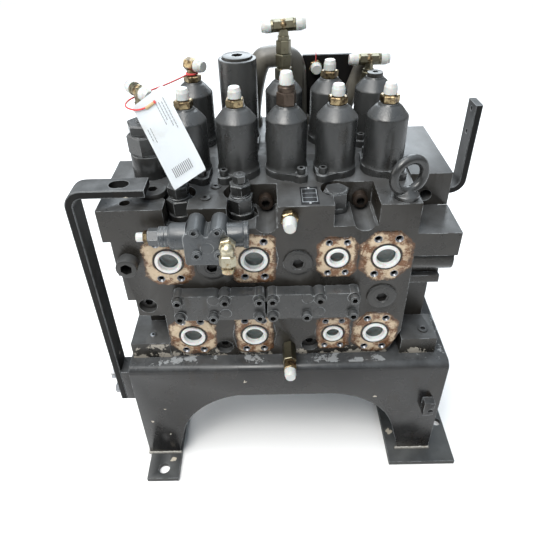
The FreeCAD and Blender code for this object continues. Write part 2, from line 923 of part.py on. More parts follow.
def bent_bar(points, radius, width, thickness, y0):
    middle = []
    for x, z in points:
        middle.append(at(x, y0 + width / 2, z))
    first = (middle[0] - middle[1]).normalize()
    second = (middle[2] - middle[1]).normalize()
    start = middle[1] + first * radius
    end = middle[1] + second * radius
    centre = start + second * radius
    inner = centre + (middle[1] - centre).normalize() * radius
    path = Part.Wire([
        Part.LineSegment(middle[0], start).toShape(),
        Part.Arc(start, inner, end).toShape(),
        Part.LineSegment(end, middle[2]).toShape(),
    ])
    side = first.cross(backward).normalize() * (thickness / 2)
    half = backward * (width / 2)
    foot = middle[0]
    corners = [foot + side + half, foot - side + half, foot - side - half, foot + side - half]
    corners.append(corners[0])
    return path.makePipeShell([Part.makePolygon(corners)], True, False)


def lift_strap():
    x = stand_left - strap_offset - bar_thickness / 2
    z = strap_top - bar_thickness / 2
    strap = bent_bar([(x, strap_foot_height), (x, z), (x + strap_reach, z)],
                     bar_bend_radius, bar_width, bar_thickness, 0)
    hole_x = x + 74
    slot = joined([
        rod(12, 40, at(hole_x - 3, bar_width / 2, z - 20)),
        rod(12, 40, at(hole_x + 3, bar_width / 2, z - 20)),
        box(hole_x - 3, hole_x + 3, bar_width / 2 - 12, bar_width / 2 + 12, z - 20, z + 20),
    ])
    return strap.cut(slot)


def rear_bracket():
    y0 = rear_row - bar_width / 2 + 6
    z = deck - bracket_foot_drop - bar_thickness / 2
    x = flank_right + bracket_offset + bar_thickness / 2
    bar = bent_bar([(x, z + bracket_rise), (x, z), (flank_right + 0.3, z)],
                   bar_bend_radius, bar_width, bar_thickness, y0)
    holes = []
    for drop in (12, 54):
        holes.append(rod(4.5, 30, at(x - 15, y0 + bar_width / 2, z + bracket_rise - drop), right))
    return without(bar, holes)


def bar_bolts():
    bolts = []
    x = stand_left - strap_offset - bar_thickness
    for z in (strap_foot_height + 17, strap_foot_height + 58):
        bolts.append(hexagon(17, 8, at(x - 2, bar_width / 2, z), left))
        bolts.append(rod(10, 2, at(x, bar_width / 2, z), left))
    y = rear_row + 6
    z = deck - bracket_foot_drop
    for inset in (12, 30):
        bolts.append(rod(6.5, 10, at(flank_right + inset, y, z)))
    return group(bolts)


def pipe(points, radius):
    spots = [at(*point) for point in points]
    edges = []
    start = spots[0]
    for number in range(1, len(spots) - 1):
        before = (spots[number - 1] - spots[number]).normalize()
        after = (spots[number + 1] - spots[number]).normalize()
        runs = min(spots[number - 1].distanceToPoint(spots[number]),
                   spots[number + 1].distanceToPoint(spots[number]))
        turn = math.pi - before.getAngle(after)
        arc_radius = 0.45 * runs / math.tan(turn / 2)
        reach = 0.45 * runs
        first = spots[number] + before * reach
        last = spots[number] + after * reach
        inward = (before + after).normalize()
        centre = spots[number] + inward * (arc_radius / math.cos(turn / 2))
        middle = centre - inward * arc_radius
        edges.append(Part.LineSegment(start, first).toShape())
        edges.append(Part.Arc(first, middle, last).toShape())
        print("bend radius", round(arc_radius, 1), "run", round(runs, 1))
        start = last
    edges.append(Part.LineSegment(start, spots[-1]).toShape())
    path = Part.Wire(edges)
    direction = (spots[1] - spots[0]).normalize()
    ring = Part.Wire([Part.makeCircle(radius, spots[0], direction)])
    return path.makePipeShell([ring], True, False)


def tag_across():
    return at(math.cos(math.radians(tag_turn)), 0, math.sin(math.radians(tag_turn)))


def tag_along():
    lean = math.radians(tag_lean)
    turn = math.radians(tag_turn)
    return at(math.cos(lean) * math.sin(turn), -math.sin(lean), -math.cos(lean) * math.cos(turn))


def tag_outward():
    return tag_along().cross(tag_across())


def on_tag(across, along, outward=0.0):
    return tag_corner + tag_across() * across + tag_along() * along + tag_outward() * outward


def paper_tag():
    corners = [on_tag(0, 0), on_tag(tag_width, 0), on_tag(tag_width, tag_length), on_tag(0, tag_length)]
    corners.append(corners[0])
    sheet = Part.Face(Part.makePolygon(corners)).extrude(tag_outward() * -tag_thickness)
    start = on_tag(loop_start, tag_hole_inset, loop_radius - tag_thickness / 2)
    return sheet.fuse(rod(loop_radius, loop_length, start, tag_across())).cut(
        rod(string_radius + loop_gap, loop_length, start, tag_across()))


def string_neck():
    return at(cap_columns[0], rear_row, crown_height() + neck_ring_height)


def string_route():
    neck = string_neck()
    valve = at(corner_valve_x, corner_valve_y, neck.z)
    return [
        neck + at(-6.8, -6.8, 0),
        neck + at(-26.7, -45, 0),
        neck + at(-49.7, -83, 2),
        valve + at(-5, 16.5, -0.5),
        valve + at(-20, -2, -2.5),
        valve + at(-17.5, -32, -2.5),
        on_tag(loop_start - 12, tag_hole_inset, loop_radius - tag_thickness / 2),
        on_tag(loop_start + loop_length + 2, tag_hole_inset, loop_radius - tag_thickness / 2),
    ]


def tag_string():
    start = string_neck() + down * string_radius
    ring = tube(neck_radius + 2 * string_radius, neck_radius + fit_gap, 2 * string_radius, start)
    return ring.fuse(pipe(string_route(), string_radius))


def rear_pipes():
    y = rear_row + pipe_offset
    over = pipe([
        at(-16, y, deck - 12),
        at(-4, y, deck + 84),
        at(32, y, deck + over_pipe_height),
        at(80, y, deck + over_pipe_height - 4),
        at(82, y, deck - 12),
    ], pipe_radius)
    stub_y = rear_row + stub_offset
    stub = pipe([
        at(160, stub_y, deck - 12),
        at(172, stub_y, deck + 22),
        at(204, stub_y, deck + 112),
    ], stub_radius)
    under = box(-60, 260, y - 50, y + 50, deck - 60, deck)
    panel = box(93, 192, panel_front, panel_front + panel_thickness, deck, deck + panel_height)
    return group([over.cut(under), stub.cut(under), panel])


parts = {}
parts["stand_frame"] = stand_frame()
parts["stand_feet"] = stand_feet()
parts["front_housing"] = front_housing()
parts["rear_housing"] = rear_housing()
parts["side_block"] = side_block()
parts["lower_covers"] = lower_covers()
parts["tall_cap"] = tall_cap()
for row_name, row in (("front", front_row), ("rear", rear_row)):
    for number, x in enumerate(cap_columns):
        if row_name == "rear" and number == tall_column:
            continue
        label = row_name + "_" + str(number + 1)
        parts["spring_cap_" + label] = spring_cap(x, row, number)
        parts["spool_" + label] = spool(x, row)
        parts["spring_" + label] = centring_spring(x, row)
parts["cap_screws"] = cap_screws()
parts["port_plugs"] = port_plugs()
parts["socket_plugs"] = socket_plugs()
poppet_columns, poppet_height = poppet_places()
for number, side in enumerate(("left", "right")):
    parts["check_cover_" + side] = check_cover(number)
    parts["check_poppet_" + side] = check_poppet(poppet_columns[number], poppet_height)
    parts["poppet_spring_" + side] = poppet_spring(poppet_columns[number], poppet_height)
parts["cover_screws"] = cover_screws()
parts["tie_screws"] = tie_screws()
parts["deck_cartridges"] = deck_cartridges()
parts["nameplate"] = nameplate()
parts["eyebolt"] = eyebolt()
parts["pilot_valve"] = pilot_valve()
parts["pilot_adjuster"] = pilot_adjuster()
parts["pilot_elbow"] = pilot_elbow()
parts["corner_valve"] = corner_valve()
parts["cap_fittings"] = cap_fittings()
parts["protective_caps"] = protective_caps()
parts["lift_strap"] = lift_strap()
parts["rear_bracket"] = rear_bracket()
parts["bar_bolts"] = bar_bolts()
parts["rear_pipes"] = rear_pipes()
parts["paper_tag"] = paper_tag()
parts["tag_string"] = tag_string()

bounds = Part.makeCompound(list(parts.values())).BoundBox
shift = at(-bounds.Center.x, -bounds.Center.y, -bounds.ZMin)
os.makedirs("parts", exist_ok=True)
for name, shape in parts.items():
    shape.translate(shift)
    shape.exportStep("parts/" + name + ".step")
print("moved by", shift)
print("size", bounds.XLength, bounds.YLength, bounds.ZLength)
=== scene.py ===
import math
import random
import bmesh
import bpy
from mathutils import Matrix, Vector


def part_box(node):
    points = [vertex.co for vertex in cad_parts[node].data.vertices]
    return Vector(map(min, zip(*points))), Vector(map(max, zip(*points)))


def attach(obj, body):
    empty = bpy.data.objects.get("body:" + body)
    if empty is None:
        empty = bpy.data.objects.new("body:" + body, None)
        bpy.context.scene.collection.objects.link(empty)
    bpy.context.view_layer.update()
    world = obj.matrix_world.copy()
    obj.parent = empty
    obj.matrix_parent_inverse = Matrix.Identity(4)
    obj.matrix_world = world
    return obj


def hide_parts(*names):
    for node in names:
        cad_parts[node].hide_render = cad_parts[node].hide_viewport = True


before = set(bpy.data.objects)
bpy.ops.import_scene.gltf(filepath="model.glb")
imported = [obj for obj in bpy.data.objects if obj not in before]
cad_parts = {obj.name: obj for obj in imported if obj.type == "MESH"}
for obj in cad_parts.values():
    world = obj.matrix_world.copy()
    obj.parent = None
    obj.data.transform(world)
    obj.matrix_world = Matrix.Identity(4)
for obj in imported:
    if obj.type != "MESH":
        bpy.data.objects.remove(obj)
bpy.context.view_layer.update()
print("frame loaded")

mm = 0.001
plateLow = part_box("nameplate")[0]
plateShape = {"left": 73, "right": 100, "front": 5, "back": 57, "thickness": 0.8}
# the second upper port, on the port face
origin = Vector((plateLow.x - plateShape["left"] * mm, plateLow.y - plateShape["front"] * mm, 0))
deck = plateLow.z / mm
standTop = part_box("front_housing")[0].z / mm
up, down = Vector((0, 0, 1)), Vector((0, 0, -1))
right, left = Vector((1, 0, 0)), Vector((-1, 0, 0))
forward, backward = Vector((0, -1, 0)), Vector((0, 1, 0))


def at(x, y, z):  # drawing millimetres to the shared frame
    return origin + Vector((x, y, z)) * mm


def show(piece):
    bpy.context.scene.collection.objects.link(piece)


# camera at the photograph's place
view = {"pitch": 0.6487, "yaw": 0.0147, "roll": 0.0327, "place": (28.6, -651.5, 952.9), "lens": 34.9}


def makeCamera():
    cp, sp = math.cos(view["pitch"]), math.sin(view["pitch"])
    cy, sy = math.cos(view["yaw"]), math.sin(view["yaw"])
    cr, sr = math.cos(view["roll"]), math.sin(view["roll"])
    turn = Matrix(((cr, sr, 0), (-sr, cr, 0), (0, 0, 1))) @ Matrix(((1, 0, 0), (0, cp, -sp), (0, sp, cp)))
    turn = turn @ Matrix(((1, 0, 0), (0, 0, -1), (0, 1, 0))) @ Matrix(((cy, sy, 0), (-sy, cy, 0), (0, 0, 1)))
    data = bpy.data.cameras.new("camera")
    data.lens = view["lens"]
    data.sensor_width = 36
    camera = bpy.data.objects.new("camera", data)
    axes = Matrix((turn[0], -turn[1], -turn[2])).transposed()
    camera.matrix_world = Matrix.Translation(at(*view["place"])) @ axes.to_4x4()
    show(camera)
    bpy.context.scene.camera = camera


makeCamera()


# node trees
def link(tree, out, into):
    tree.links.new(out, into)


def feed(tree, socket, value):  # a number is set on the socket, an output is linked to it
    if isinstance(value, (int, float)):
        socket.default_value = value
    else:
        link(tree, value, socket)


def node(tree, kind, **values):
    made = tree.nodes.new(kind)
    for key, value in values.items():
        if hasattr(made, key):
            setattr(made, key, value)
        else:
            made.inputs[key.replace("_", " ")].default_value = value
    return made


def math2(tree, operation, a, b=None, clamp=False):
    made = tree.nodes.new("ShaderNodeMath")
    made.operation = operation
    made.use_clamp = clamp
    for socket, value in zip(made.inputs, (a, b)):
        if value is not None:
            feed(tree, socket, value)
    return made.outputs[0]


def times(tree, a, b, clamp=False):
    return math2(tree, "MULTIPLY", a, b, clamp)


def plus(tree, a, b):
    return math2(tree, "ADD", a, b)


def minus(tree, a, b):
    return math2(tree, "SUBTRACT", a, b)


def ramp(tree, value, low, high, smooth=True):
    made = tree.nodes.new("ShaderNodeMapRange")
    made.interpolation_type = "SMOOTHSTEP" if smooth else "LINEAR"
    made.inputs["From Min"].default_value = low
    made.inputs["From Max"].default_value = high
    link(tree, value, made.inputs["Value"])
    return made.outputs["Result"]


def mixColor(tree, factor, a, b):
    made = tree.nodes.new("ShaderNodeMix")
    made.data_type = "RGBA"
    feed(tree, made.inputs[0], factor)
    for index, value in ((6, a), (7, b)):
        if isinstance(value, tuple):
            made.inputs[index].default_value = (*value, 1)
        else:
            link(tree, value, made.inputs[index])
    return made.outputs[2]


def newGroup(name, inputs, outputs):
    group = bpy.data.node_groups.new(name, "ShaderNodeTree")
    for socketName, kind, value in inputs:
        made = group.interface.new_socket(name=socketName, in_out="INPUT", socket_type=kind)
        if value is not None:
            made.default_value = value
    for socketName, kind in outputs:
        group.interface.new_socket(name=socketName, in_out="OUTPUT", socket_type=kind)
    return group, group.nodes.new("NodeGroupInput"), group.nodes.new("NodeGroupOutput")


floatSocket, colorSocket, vectorSocket = "NodeSocketFloat", "NodeSocketColor", "NodeSocketVector"


def noiseOf(tree, vector, scale, detail=4.0, rough=0.55):
    made = node(tree, "ShaderNodeTexNoise", Detail=detail, Roughness=rough)
    link(tree, vector, made.inputs["Vector"])
    feed(tree, made.inputs["Scale"], scale)
    return made.outputs[0]


def makeCastGroup():
    group, inside, outside = newGroup(
        "castSurface",
        [("Vector", vectorSocket, None), ("Grain", floatSocket, 700.0), ("Depth", floatSocket, 1.0)],
        [("Height", floatSocket), ("Mottle", floatSocket)])
    fine = noiseOf(group, inside.outputs["Vector"], inside.outputs["Grain"], 3.0)
    lumps = noiseOf(group, inside.outputs["Vector"], 110.0, 2.0)
    broad = noiseOf(group, inside.outputs["Vector"], 17.0, 5.0)
    height = plus(group, times(group, fine, 0.6), times(group, lumps, 0.3))
    link(group, times(group, height, inside.outputs["Depth"]), outside.inputs["Height"])
    link(group, ramp(group, broad, 0.3, 0.7), outside.inputs["Mottle"])
    return group


# painted edge highlight mixed with patchy edge wear: bevelled edges are tinted pale bluish grey
def makeWearAndHighlightGroup():
    group, inside, outside = newGroup(
        "edgeWearAndHighlight", [("Vector", vectorSocket, None), ("Amount", floatSocket, 0.5)], [("Mask", floatSocket)])
    bevel = node(group, "ShaderNodeBevel", samples=6, Radius=0.0016)
    plain = group.nodes.new("ShaderNodeNewGeometry")
    dot = group.nodes.new("ShaderNodeVectorMath")
    dot.operation = "DOT_PRODUCT"
    link(group, bevel.outputs[0], dot.inputs[0])
    link(group, plain.outputs["Normal"], dot.inputs[1])
    edge = ramp(group, dot.outputs["Value"], 0.998, 0.93)
    patchy = ramp(group, noiseOf(group, inside.outputs["Vector"], 60.0, 6.0, 0.7), 0.66, 0.3)
    keep = ramp(group, plus(group, patchy, inside.outputs["Amount"]), 0.6, 1.2)
    link(group, times(group, edge, keep, True), outside.inputs["Mask"])
    return group


# settled dust and painted sky sheen: upward faces are tinted pale bluish grey in patches
def makeDustAndSheenGroup():
    group, inside, outside = newGroup(
        "settledDustAndSkySheen", [("Vector", vectorSocket, None), ("Amount", floatSocket, 0.5)], [("Mask", floatSocket)])
    normal = group.nodes.new("ShaderNodeNewGeometry")
    split = group.nodes.new("ShaderNodeSeparateXYZ")
    link(group, normal.outputs["Normal"], split.inputs[0])
    upward = ramp(group, split.outputs["Z"], 0.1, 0.95)
    cloud = ramp(group, noiseOf(group, inside.outputs["Vector"], 24.0, 7.0, 0.66), 0.2, 0.85)
    patchy = plus(group, times(group, cloud, 0.75), 0.25)
    mask = times(group, upward, patchy)
    link(group, times(group, mask, inside.outputs["Amount"], True), outside.inputs["Mask"])
    return group


def makeChipGroup():
    group, inside, outside = newGroup(
        "paintChips",
        [("Vector", vectorSocket, None), ("Scale", floatSocket, 38.0), ("Share", floatSocket, 0.12)],
        [("Mask", floatSocket)])
    cells = group.nodes.new("ShaderNodeTexVoronoi")
    wobble = noiseOf(group, inside.outputs["Vector"], 160.0, 3.0)
    moved = group.nodes.new("ShaderNodeVectorMath")
    link(group, inside.outputs["Vector"], moved.inputs[0])
    combine = group.nodes.new("ShaderNodeCombineXYZ")
    for index in range(3):
        link(group, times(group, wobble, 0.012), combine.inputs[index])
    link(group, combine.outputs[0], moved.inputs[1])
    link(group, moved.outputs[0], cells.inputs["Vector"])
    link(group, inside.outputs["Scale"], cells.inputs["Scale"])
    split = group.nodes.new("ShaderNodeSeparateColor")
    link(group, cells.outputs["Color"], split.inputs[0])
    chosen = math2(group, "LESS_THAN", split.outputs[0], inside.outputs["Share"])
    size = times(group, split.outputs[1], 0.26)
    spot = math2(group, "LESS_THAN", cells.outputs["Distance"], size)
    link(group, times(group, chosen, spot), outside.inputs["Mask"])
    return group


def makeRunGroup():  # dark oily runs down the upright faces
    group, inside, outside = newGroup("oilRuns", [("Vector", vectorSocket, None)], [("Mask", floatSocket)])
    squash = group.nodes.new("ShaderNodeVectorMath")
    squash.operation = "MULTIPLY"
    squash.inputs[1].default_value = (1.0, 1.0, 0.14)
    link(group, inside.outputs["Vector"], squash.inputs[0])
    streaks = ramp(group, noiseOf(group, squash.outputs[0], 75.0, 5.0, 0.6), 0.5, 0.68)
    patches = ramp(group, noiseOf(group, inside.outputs["Vector"], 14.0, 4.0, 0.6), 0.45, 0.62)
    link(group, times(group, times(group, streaks, patches), 0.8), outside.inputs["Mask"])
    return group


def makeStainGroup():
    group, inside, outside = newGroup(
        "oilyRust", [("Vector", vectorSocket, None), ("Wet", floatSocket, 0.5), ("Edge", floatSocket, 0.0)],
        [("Color", colorSocket), ("Roughness", floatSocket)])
    cloud = noiseOf(group, inside.outputs["Vector"], 34.0, 8.0, 0.66)
    fine = noiseOf(group, inside.outputs["Vector"], 190.0, 6.0, 0.72)
    warm = mixColor(group, ramp(group, cloud, 0.46, 0.56), (0.50, 0.395, 0.275), (0.145, 0.066, 0.028))
    pale = mixColor(group, ramp(group, fine, 0.52, 0.75), warm, (0.62, 0.52, 0.40))
    dark = mixColor(group, ramp(group, fine, 0.42, 0.28), pale, (0.07, 0.04, 0.025))
    edge = mixColor(group, inside.outputs["Edge"], dark, (0.075, 0.04, 0.022))
    link(group, edge, outside.inputs["Color"])
    wetness = times(group, ramp(group, cloud, 0.4, 0.6), inside.outputs["Wet"])
    link(group, minus(group, 0.55, times(group, wetness, 0.35)), outside.inputs["Roughness"])
    return group


castGroup = makeCastGroup()
wearAndHighlightGroup = makeWearAndHighlightGroup()
dustAndSheenGroup = makeDustAndSheenGroup()
chipGroup = makeChipGroup()
stainGroup = makeStainGroup()
runGroup = makeRunGroup()


def newMaterial(name, **values):
    material = bpy.data.materials.new(name)
    material.use_nodes = True
    tree = material.node_tree
    shader = tree.nodes["Principled BSDF"]
    for key, value in values.items():
        shader.inputs[key.replace("_", " ")].default_value = value
    place = tree.nodes.new("ShaderNodeTexCoord").outputs["Object"]
    return material, tree, shader, place


def useGroup(tree, group, place, **values):
    made = tree.nodes.new("ShaderNodeGroup")
    made.node_tree = group
    link(tree, place, made.inputs["Vector"])
    for key, value in values.items():
        feed(tree, made.inputs[key], value)
    return made.outputs


def bumpInto(tree, shader, height, strength, distance):
    bump = node(tree, "ShaderNodeBump", Strength=strength, Distance=distance)
    link(tree, height, bump.inputs["Height"])
    link(tree, bump.outputs[0], shader.inputs["Normal"])


# tints laid over the paint: runs, chips and scuffs are dirt and wear; dust also holds a painted sky sheen, wear
# a painted edge highlight, and ring a painted shade
soilsAndPaintedLight = {"runs": (0.012, 0.009, 0.006), "dustAndSheen": (0.135, 0.142, 0.148), "wearAndHighlight": (0.27, 0.285, 0.295),
         "chips": (0.42, 0.38, 0.31), "standScuff": (0.25, 0.262, 0.27), "footScuff": (0.30, 0.275, 0.235),
         "ring": (0.02, 0.014, 0.01)}


def paintMaterial(name, base, pale, roughness, grain, depth, dustAndSheen, wearAndHighlight, gloss=0.5, chips=0.0,
                  stainedAndShaded=False, topScuff=False):
    material, tree, shader, place = newMaterial(name, Specular_IOR_Level=gloss)
    cast = useGroup(tree, castGroup, place, Grain=grain, Depth=depth)
    color = mixColor(tree, cast["Mottle"], base, pale)
    runs = useGroup(tree, runGroup, place)["Mask"]
    color = mixColor(tree, runs, color, soilsAndPaintedLight["runs"])
    # settled dust with painted sky sheen on upward faces
    dustAndSheenMask = useGroup(tree, dustAndSheenGroup, place, Amount=dustAndSheen)["Mask"]
    color = mixColor(tree, dustAndSheenMask, color, soilsAndPaintedLight["dustAndSheen"])
    rough = plus(tree, times(tree, cast["Mottle"], 0.14), roughness - 0.07)
    rough = plus(tree, rough, times(tree, dustAndSheenMask, 0.12))
    # painted edge highlight with edge wear on bevelled edges
    wearAndHighlightMask = useGroup(tree, wearAndHighlightGroup, place, Amount=wearAndHighlight)["Mask"]
    color = mixColor(tree, wearAndHighlightMask, color, soilsAndPaintedLight["wearAndHighlight"])
    if chips:
        chipMask = useGroup(tree, chipGroup, place, Share=chips)["Mask"]
        color = mixColor(tree, chipMask, color, soilsAndPaintedLight["chips"])
    if topScuff:
        color = mixColor(tree, standScuff(tree, place), color, soilsAndPaintedLight["standScuff"])
    if stainedAndShaded:
        mask, rim, ring, scuff = portStainsAndShade(tree, place)
        stain = useGroup(tree, stainGroup, place, Wet=0.9, Edge=rim)
        color = mixColor(tree, scuff, color, soilsAndPaintedLight["footScuff"])
        color = mixColor(tree, mask, color, stain["Color"])
        # painted shade: a dark ring in the gap round each port plug
        color = mixColor(tree, ring, color, soilsAndPaintedLight["ring"])
        soft = tree.nodes.new("ShaderNodeMix")
        link(tree, mask, soft.inputs[0])
        link(tree, rough, soft.inputs[2])
        link(tree, stain["Roughness"], soft.inputs[3])
        rough = soft.outputs[0]
        link(tree, times(tree, mask, 0.2), shader.inputs["Metallic"])
    link(tree, color, shader.inputs["Base Color"])
    link(tree, rough, shader.inputs["Roughness"])
    bumpInto(tree, shader, cast["Height"], 0.6, 0.0007)
    return material


upperPorts = [(-134.5, 1), (0, 1), (130, 0), (206.5, 1)]
lowerPorts = [(-113.5, 1), (-5.5, 1), (131.5, 0), (204.5, 1)]
portRadius = {1: 21.5, 0: 17.5}  # large and small ports
padFace = -1.5  # the machined pads rise from the port face
upperRow, lowerRow = standTop + 214.5, standTop + 51
portPlaces = [(x, upperRow, big) for x, big in upperPorts] + [(x, lowerRow, big) for x, big in lowerPorts]
# half width, half height and corner of the bare metal round each port
stainShapes = [(39, 46, 17), (34, 46, 6), (32, 38, 12), (42, 47, 24),
               (41, 43, 20), (33, 42, 7), (29, 38, 8), (40, 46, 22)]


def portStainsAndShade(tree, place):  # ragged bare metal round each flange port, a painted shade ring round each plug, and scuffs near the foot
    split = tree.nodes.new("ShaderNodeSeparateXYZ")
    link(tree, place, split.inputs[0])
    nearest, nearestRing = None, None
    for number, (x, z, big) in enumerate(portPlaces):
        spot = at(x, 0, z)
        shape = stainShapes[number]
        reachX = math2(tree, "ABSOLUTE", minus(tree, split.outputs[0], spot.x))
        reachZ = math2(tree, "ABSOLUTE", minus(tree, split.outputs[2], spot.z))
        across = minus(tree, reachX, shape[0] * mm)
        along = minus(tree, reachZ, shape[1] * mm)
        corner = plus(tree, plus(tree, across, along), shape[2] * mm)
        gap = math2(tree, "MAXIMUM", math2(tree, "MAXIMUM", across, along), times(tree, corner, 0.75))
        nearest = gap if nearest is None else math2(tree, "MINIMUM", nearest, gap)
        squares = plus(tree, times(tree, reachX, reachX), times(tree, reachZ, reachZ))
        ringGap = minus(tree, math2(tree, "SQRT", squares), portRadius[big] * mm)
        nearestRing = ringGap if nearestRing is None else math2(tree, "MINIMUM", nearestRing, ringGap)
    ragged = times(tree, minus(tree, noiseOf(tree, place, 85.0, 6.0, 0.7), 0.5), 0.013)
    gap = plus(tree, nearest, ragged)
    front = math2(tree, "LESS_THAN", split.outputs[1], at(0, 0.7, 0).y)
    mask = times(tree, ramp(tree, gap, 0.0008, -0.0004), front)
    rim = ramp(tree, plus(tree, gap, times(tree, ragged, 1.2)), -0.0065, -0.0005)
    # painted shade: a dark ring just outside each plug, for the gap between plug and pad
    ringEdge = plus(tree, nearestRing, times(tree, ragged, 0.25))
    ring = times(tree, ramp(tree, ringEdge, 0.0048, 0.0026), front)
    low = minus(tree, split.outputs[2], standTop * mm)
    edgeNoise = times(tree, minus(tree, noiseOf(tree, place, 40.0, 6.0, 0.68), 0.50), 0.13)
    scuff = times(tree, ramp(tree, minus(tree, low, edgeNoise), 0.0035, 0.0025), front)
    patches = ramp(tree, noiseOf(tree, place, 33.0, 6.0, 0.66), 0.545, 0.56)
    besideFoot = math2(tree, "LESS_THAN", split.outputs[0], at(-128, 0, 0).x)
    nearFoot = times(tree, besideFoot, math2(tree, "LESS_THAN", low, 0.033))
    footScuff = times(tree, times(tree, patches, nearFoot), front)
    return mask, rim, ring, math2(tree, "MAXIMUM", scuff, footScuff)


def standScuff(tree, place):  # paint worn off the stand's top in front of the block
    split = tree.nodes.new("ShaderNodeSeparateXYZ")
    link(tree, place, split.inputs[0])
    patches = ramp(tree, noiseOf(tree, place, 30.0, 7.0, 0.68), 0.56, 0.575)
    onTop = math2(tree, "GREATER_THAN", split.outputs[2], (standTop - 4) * mm)
    strip = math2(tree, "GREATER_THAN", split.outputs[1], at(0, -22, 0).y)
    return times(tree, times(tree, patches, onTop), strip)


def metalMaterial(name, base, stainColor, roughness, stainShare=0.55, metallic=1.0):
    material, tree, shader, place = newMaterial(name, Metallic=metallic)
    cloud = noiseOf(tree, place, 130.0, 6.0, 0.7)
    fine = noiseOf(tree, place, 900.0, 3.0)
    color = mixColor(tree, ramp(tree, cloud, stainShare, stainShare + 0.18), base, stainColor)
    link(tree, color, shader.inputs["Base Color"])
    link(tree, plus(tree, times(tree, cloud, 0.3), roughness - 0.15), shader.inputs["Roughness"])
    bumpInto(tree, shader, fine, 0.25, 0.0002)
    return material


def plasticMaterial(name, color, dirt, roughness, seeThrough):
    material, tree, shader, place = newMaterial(name, IOR=1.48, Subsurface_Weight=0.25, Subsurface_Scale=0.004,
                                                Transmission_Weight=seeThrough)
    smear = ramp(tree, noiseOf(tree, place, 95.0, 6.0, 0.7), 0.5, 0.78)
    link(tree, mixColor(tree, times(tree, smear, 0.55), color, dirt), shader.inputs["Base Color"])
    link(tree, plus(tree, times(tree, smear, 0.2), roughness), shader.inputs["Roughness"])
    bumpInto(tree, shader, noiseOf(tree, place, 420.0), 0.15, 0.0003)
    return material


def paperMaterial(name, base, smudged):
    material, tree, shader, place = newMaterial(name, Roughness=0.62)
    fibre = noiseOf(tree, place, 640.0, 4.0)
    smudge = ramp(tree, noiseOf(tree, place, 34.0, 5.0, 0.6), 0.48, 0.8)
    color = mixColor(tree, times(tree, smudge, 0.5), base, smudged)
    link(tree, color, shader.inputs["Base Color"])
    bumpInto(tree, shader, fibre, 0.2, 0.0002)
    return material


def stringMaterial():
    material, tree, shader, place = newMaterial("redString", Roughness=0.75, Sheen_Weight=0.3)
    twist = node(tree, "ShaderNodeTexWave", Scale=420.0, Distortion=1.5)
    twist.bands_direction = "DIAGONAL"
    link(tree, place, twist.inputs["Vector"])
    color = mixColor(tree, twist.outputs["Fac"], (0.55, 0.02, 0.025), (0.8, 0.07, 0.06))
    link(tree, color, shader.inputs["Base Color"])
    bumpInto(tree, shader, twist.outputs["Fac"], 0.6, 0.0005)
    return material


# two tints, then roughness, grain, depth, dust with painted sky sheen, wear with painted edge highlight, and
# gloss
paints = {
    "block": paintMaterial("castPaint", (0.0135, 0.0120, 0.0100), (0.026, 0.0235, 0.0200),
                           0.30, 520.0, 0.9, 0.62, 0.5, 0.42, stainedAndShaded=True),
    "rear": paintMaterial("rearCastPaint", (0.017, 0.0158, 0.0138), (0.034, 0.0315, 0.028),
                          0.33, 480.0, 1.1, 0.85, 0.5, 0.5),
    "cap": paintMaterial("capPaint", (0.021, 0.022, 0.0222), (0.034, 0.0352, 0.0350),
                         0.27, 520.0, 1.1, 0.6, 0.4, 0.6),
    "valve": paintMaterial("valvePaint", (0.016, 0.0165, 0.0165), (0.029, 0.030, 0.030),
                           0.27, 600.0, 0.5, 0.55, 0.5, 0.55),
    "plug": paintMaterial("plugPaint", (0.014, 0.0135, 0.0125), (0.025, 0.024, 0.022),
                          0.3, 600.0, 0.3, 0.5, 0.0, 0.5),
    "pilot": paintMaterial("pilotPaint", (0.030, 0.035, 0.040), (0.050, 0.056, 0.061),
                           0.27, 460.0, 0.7, 0.6, 0.5, 0.5),
    "stand": paintMaterial("standPaint", (0.0080, 0.0078, 0.0082), (0.018, 0.0172, 0.017),
                           0.25, 260.0, 0.3, 0.6, 0.55, 0.38, chips=0.11, topScuff=True),
    "strap": paintMaterial("strapPaint", (0.0045, 0.0045, 0.0047), (0.0105, 0.0102, 0.0098),
                           0.46, 260.0, 0.3, 0.95, 0.85, 0.14, chips=0.10),
    "pipe": paintMaterial("pipePaint", (0.075, 0.070, 0.058), (0.13, 0.122, 0.102),
                          0.33, 300.0, 0.3, 0.4, 0.2, 0.6),
    "foot": paintMaterial("footPaint", (0.016, 0.017, 0.017), (0.042, 0.044, 0.042),
                          0.45, 400.0, 0.9, 0.35, 0.6, 0.35, chips=0.12),
}
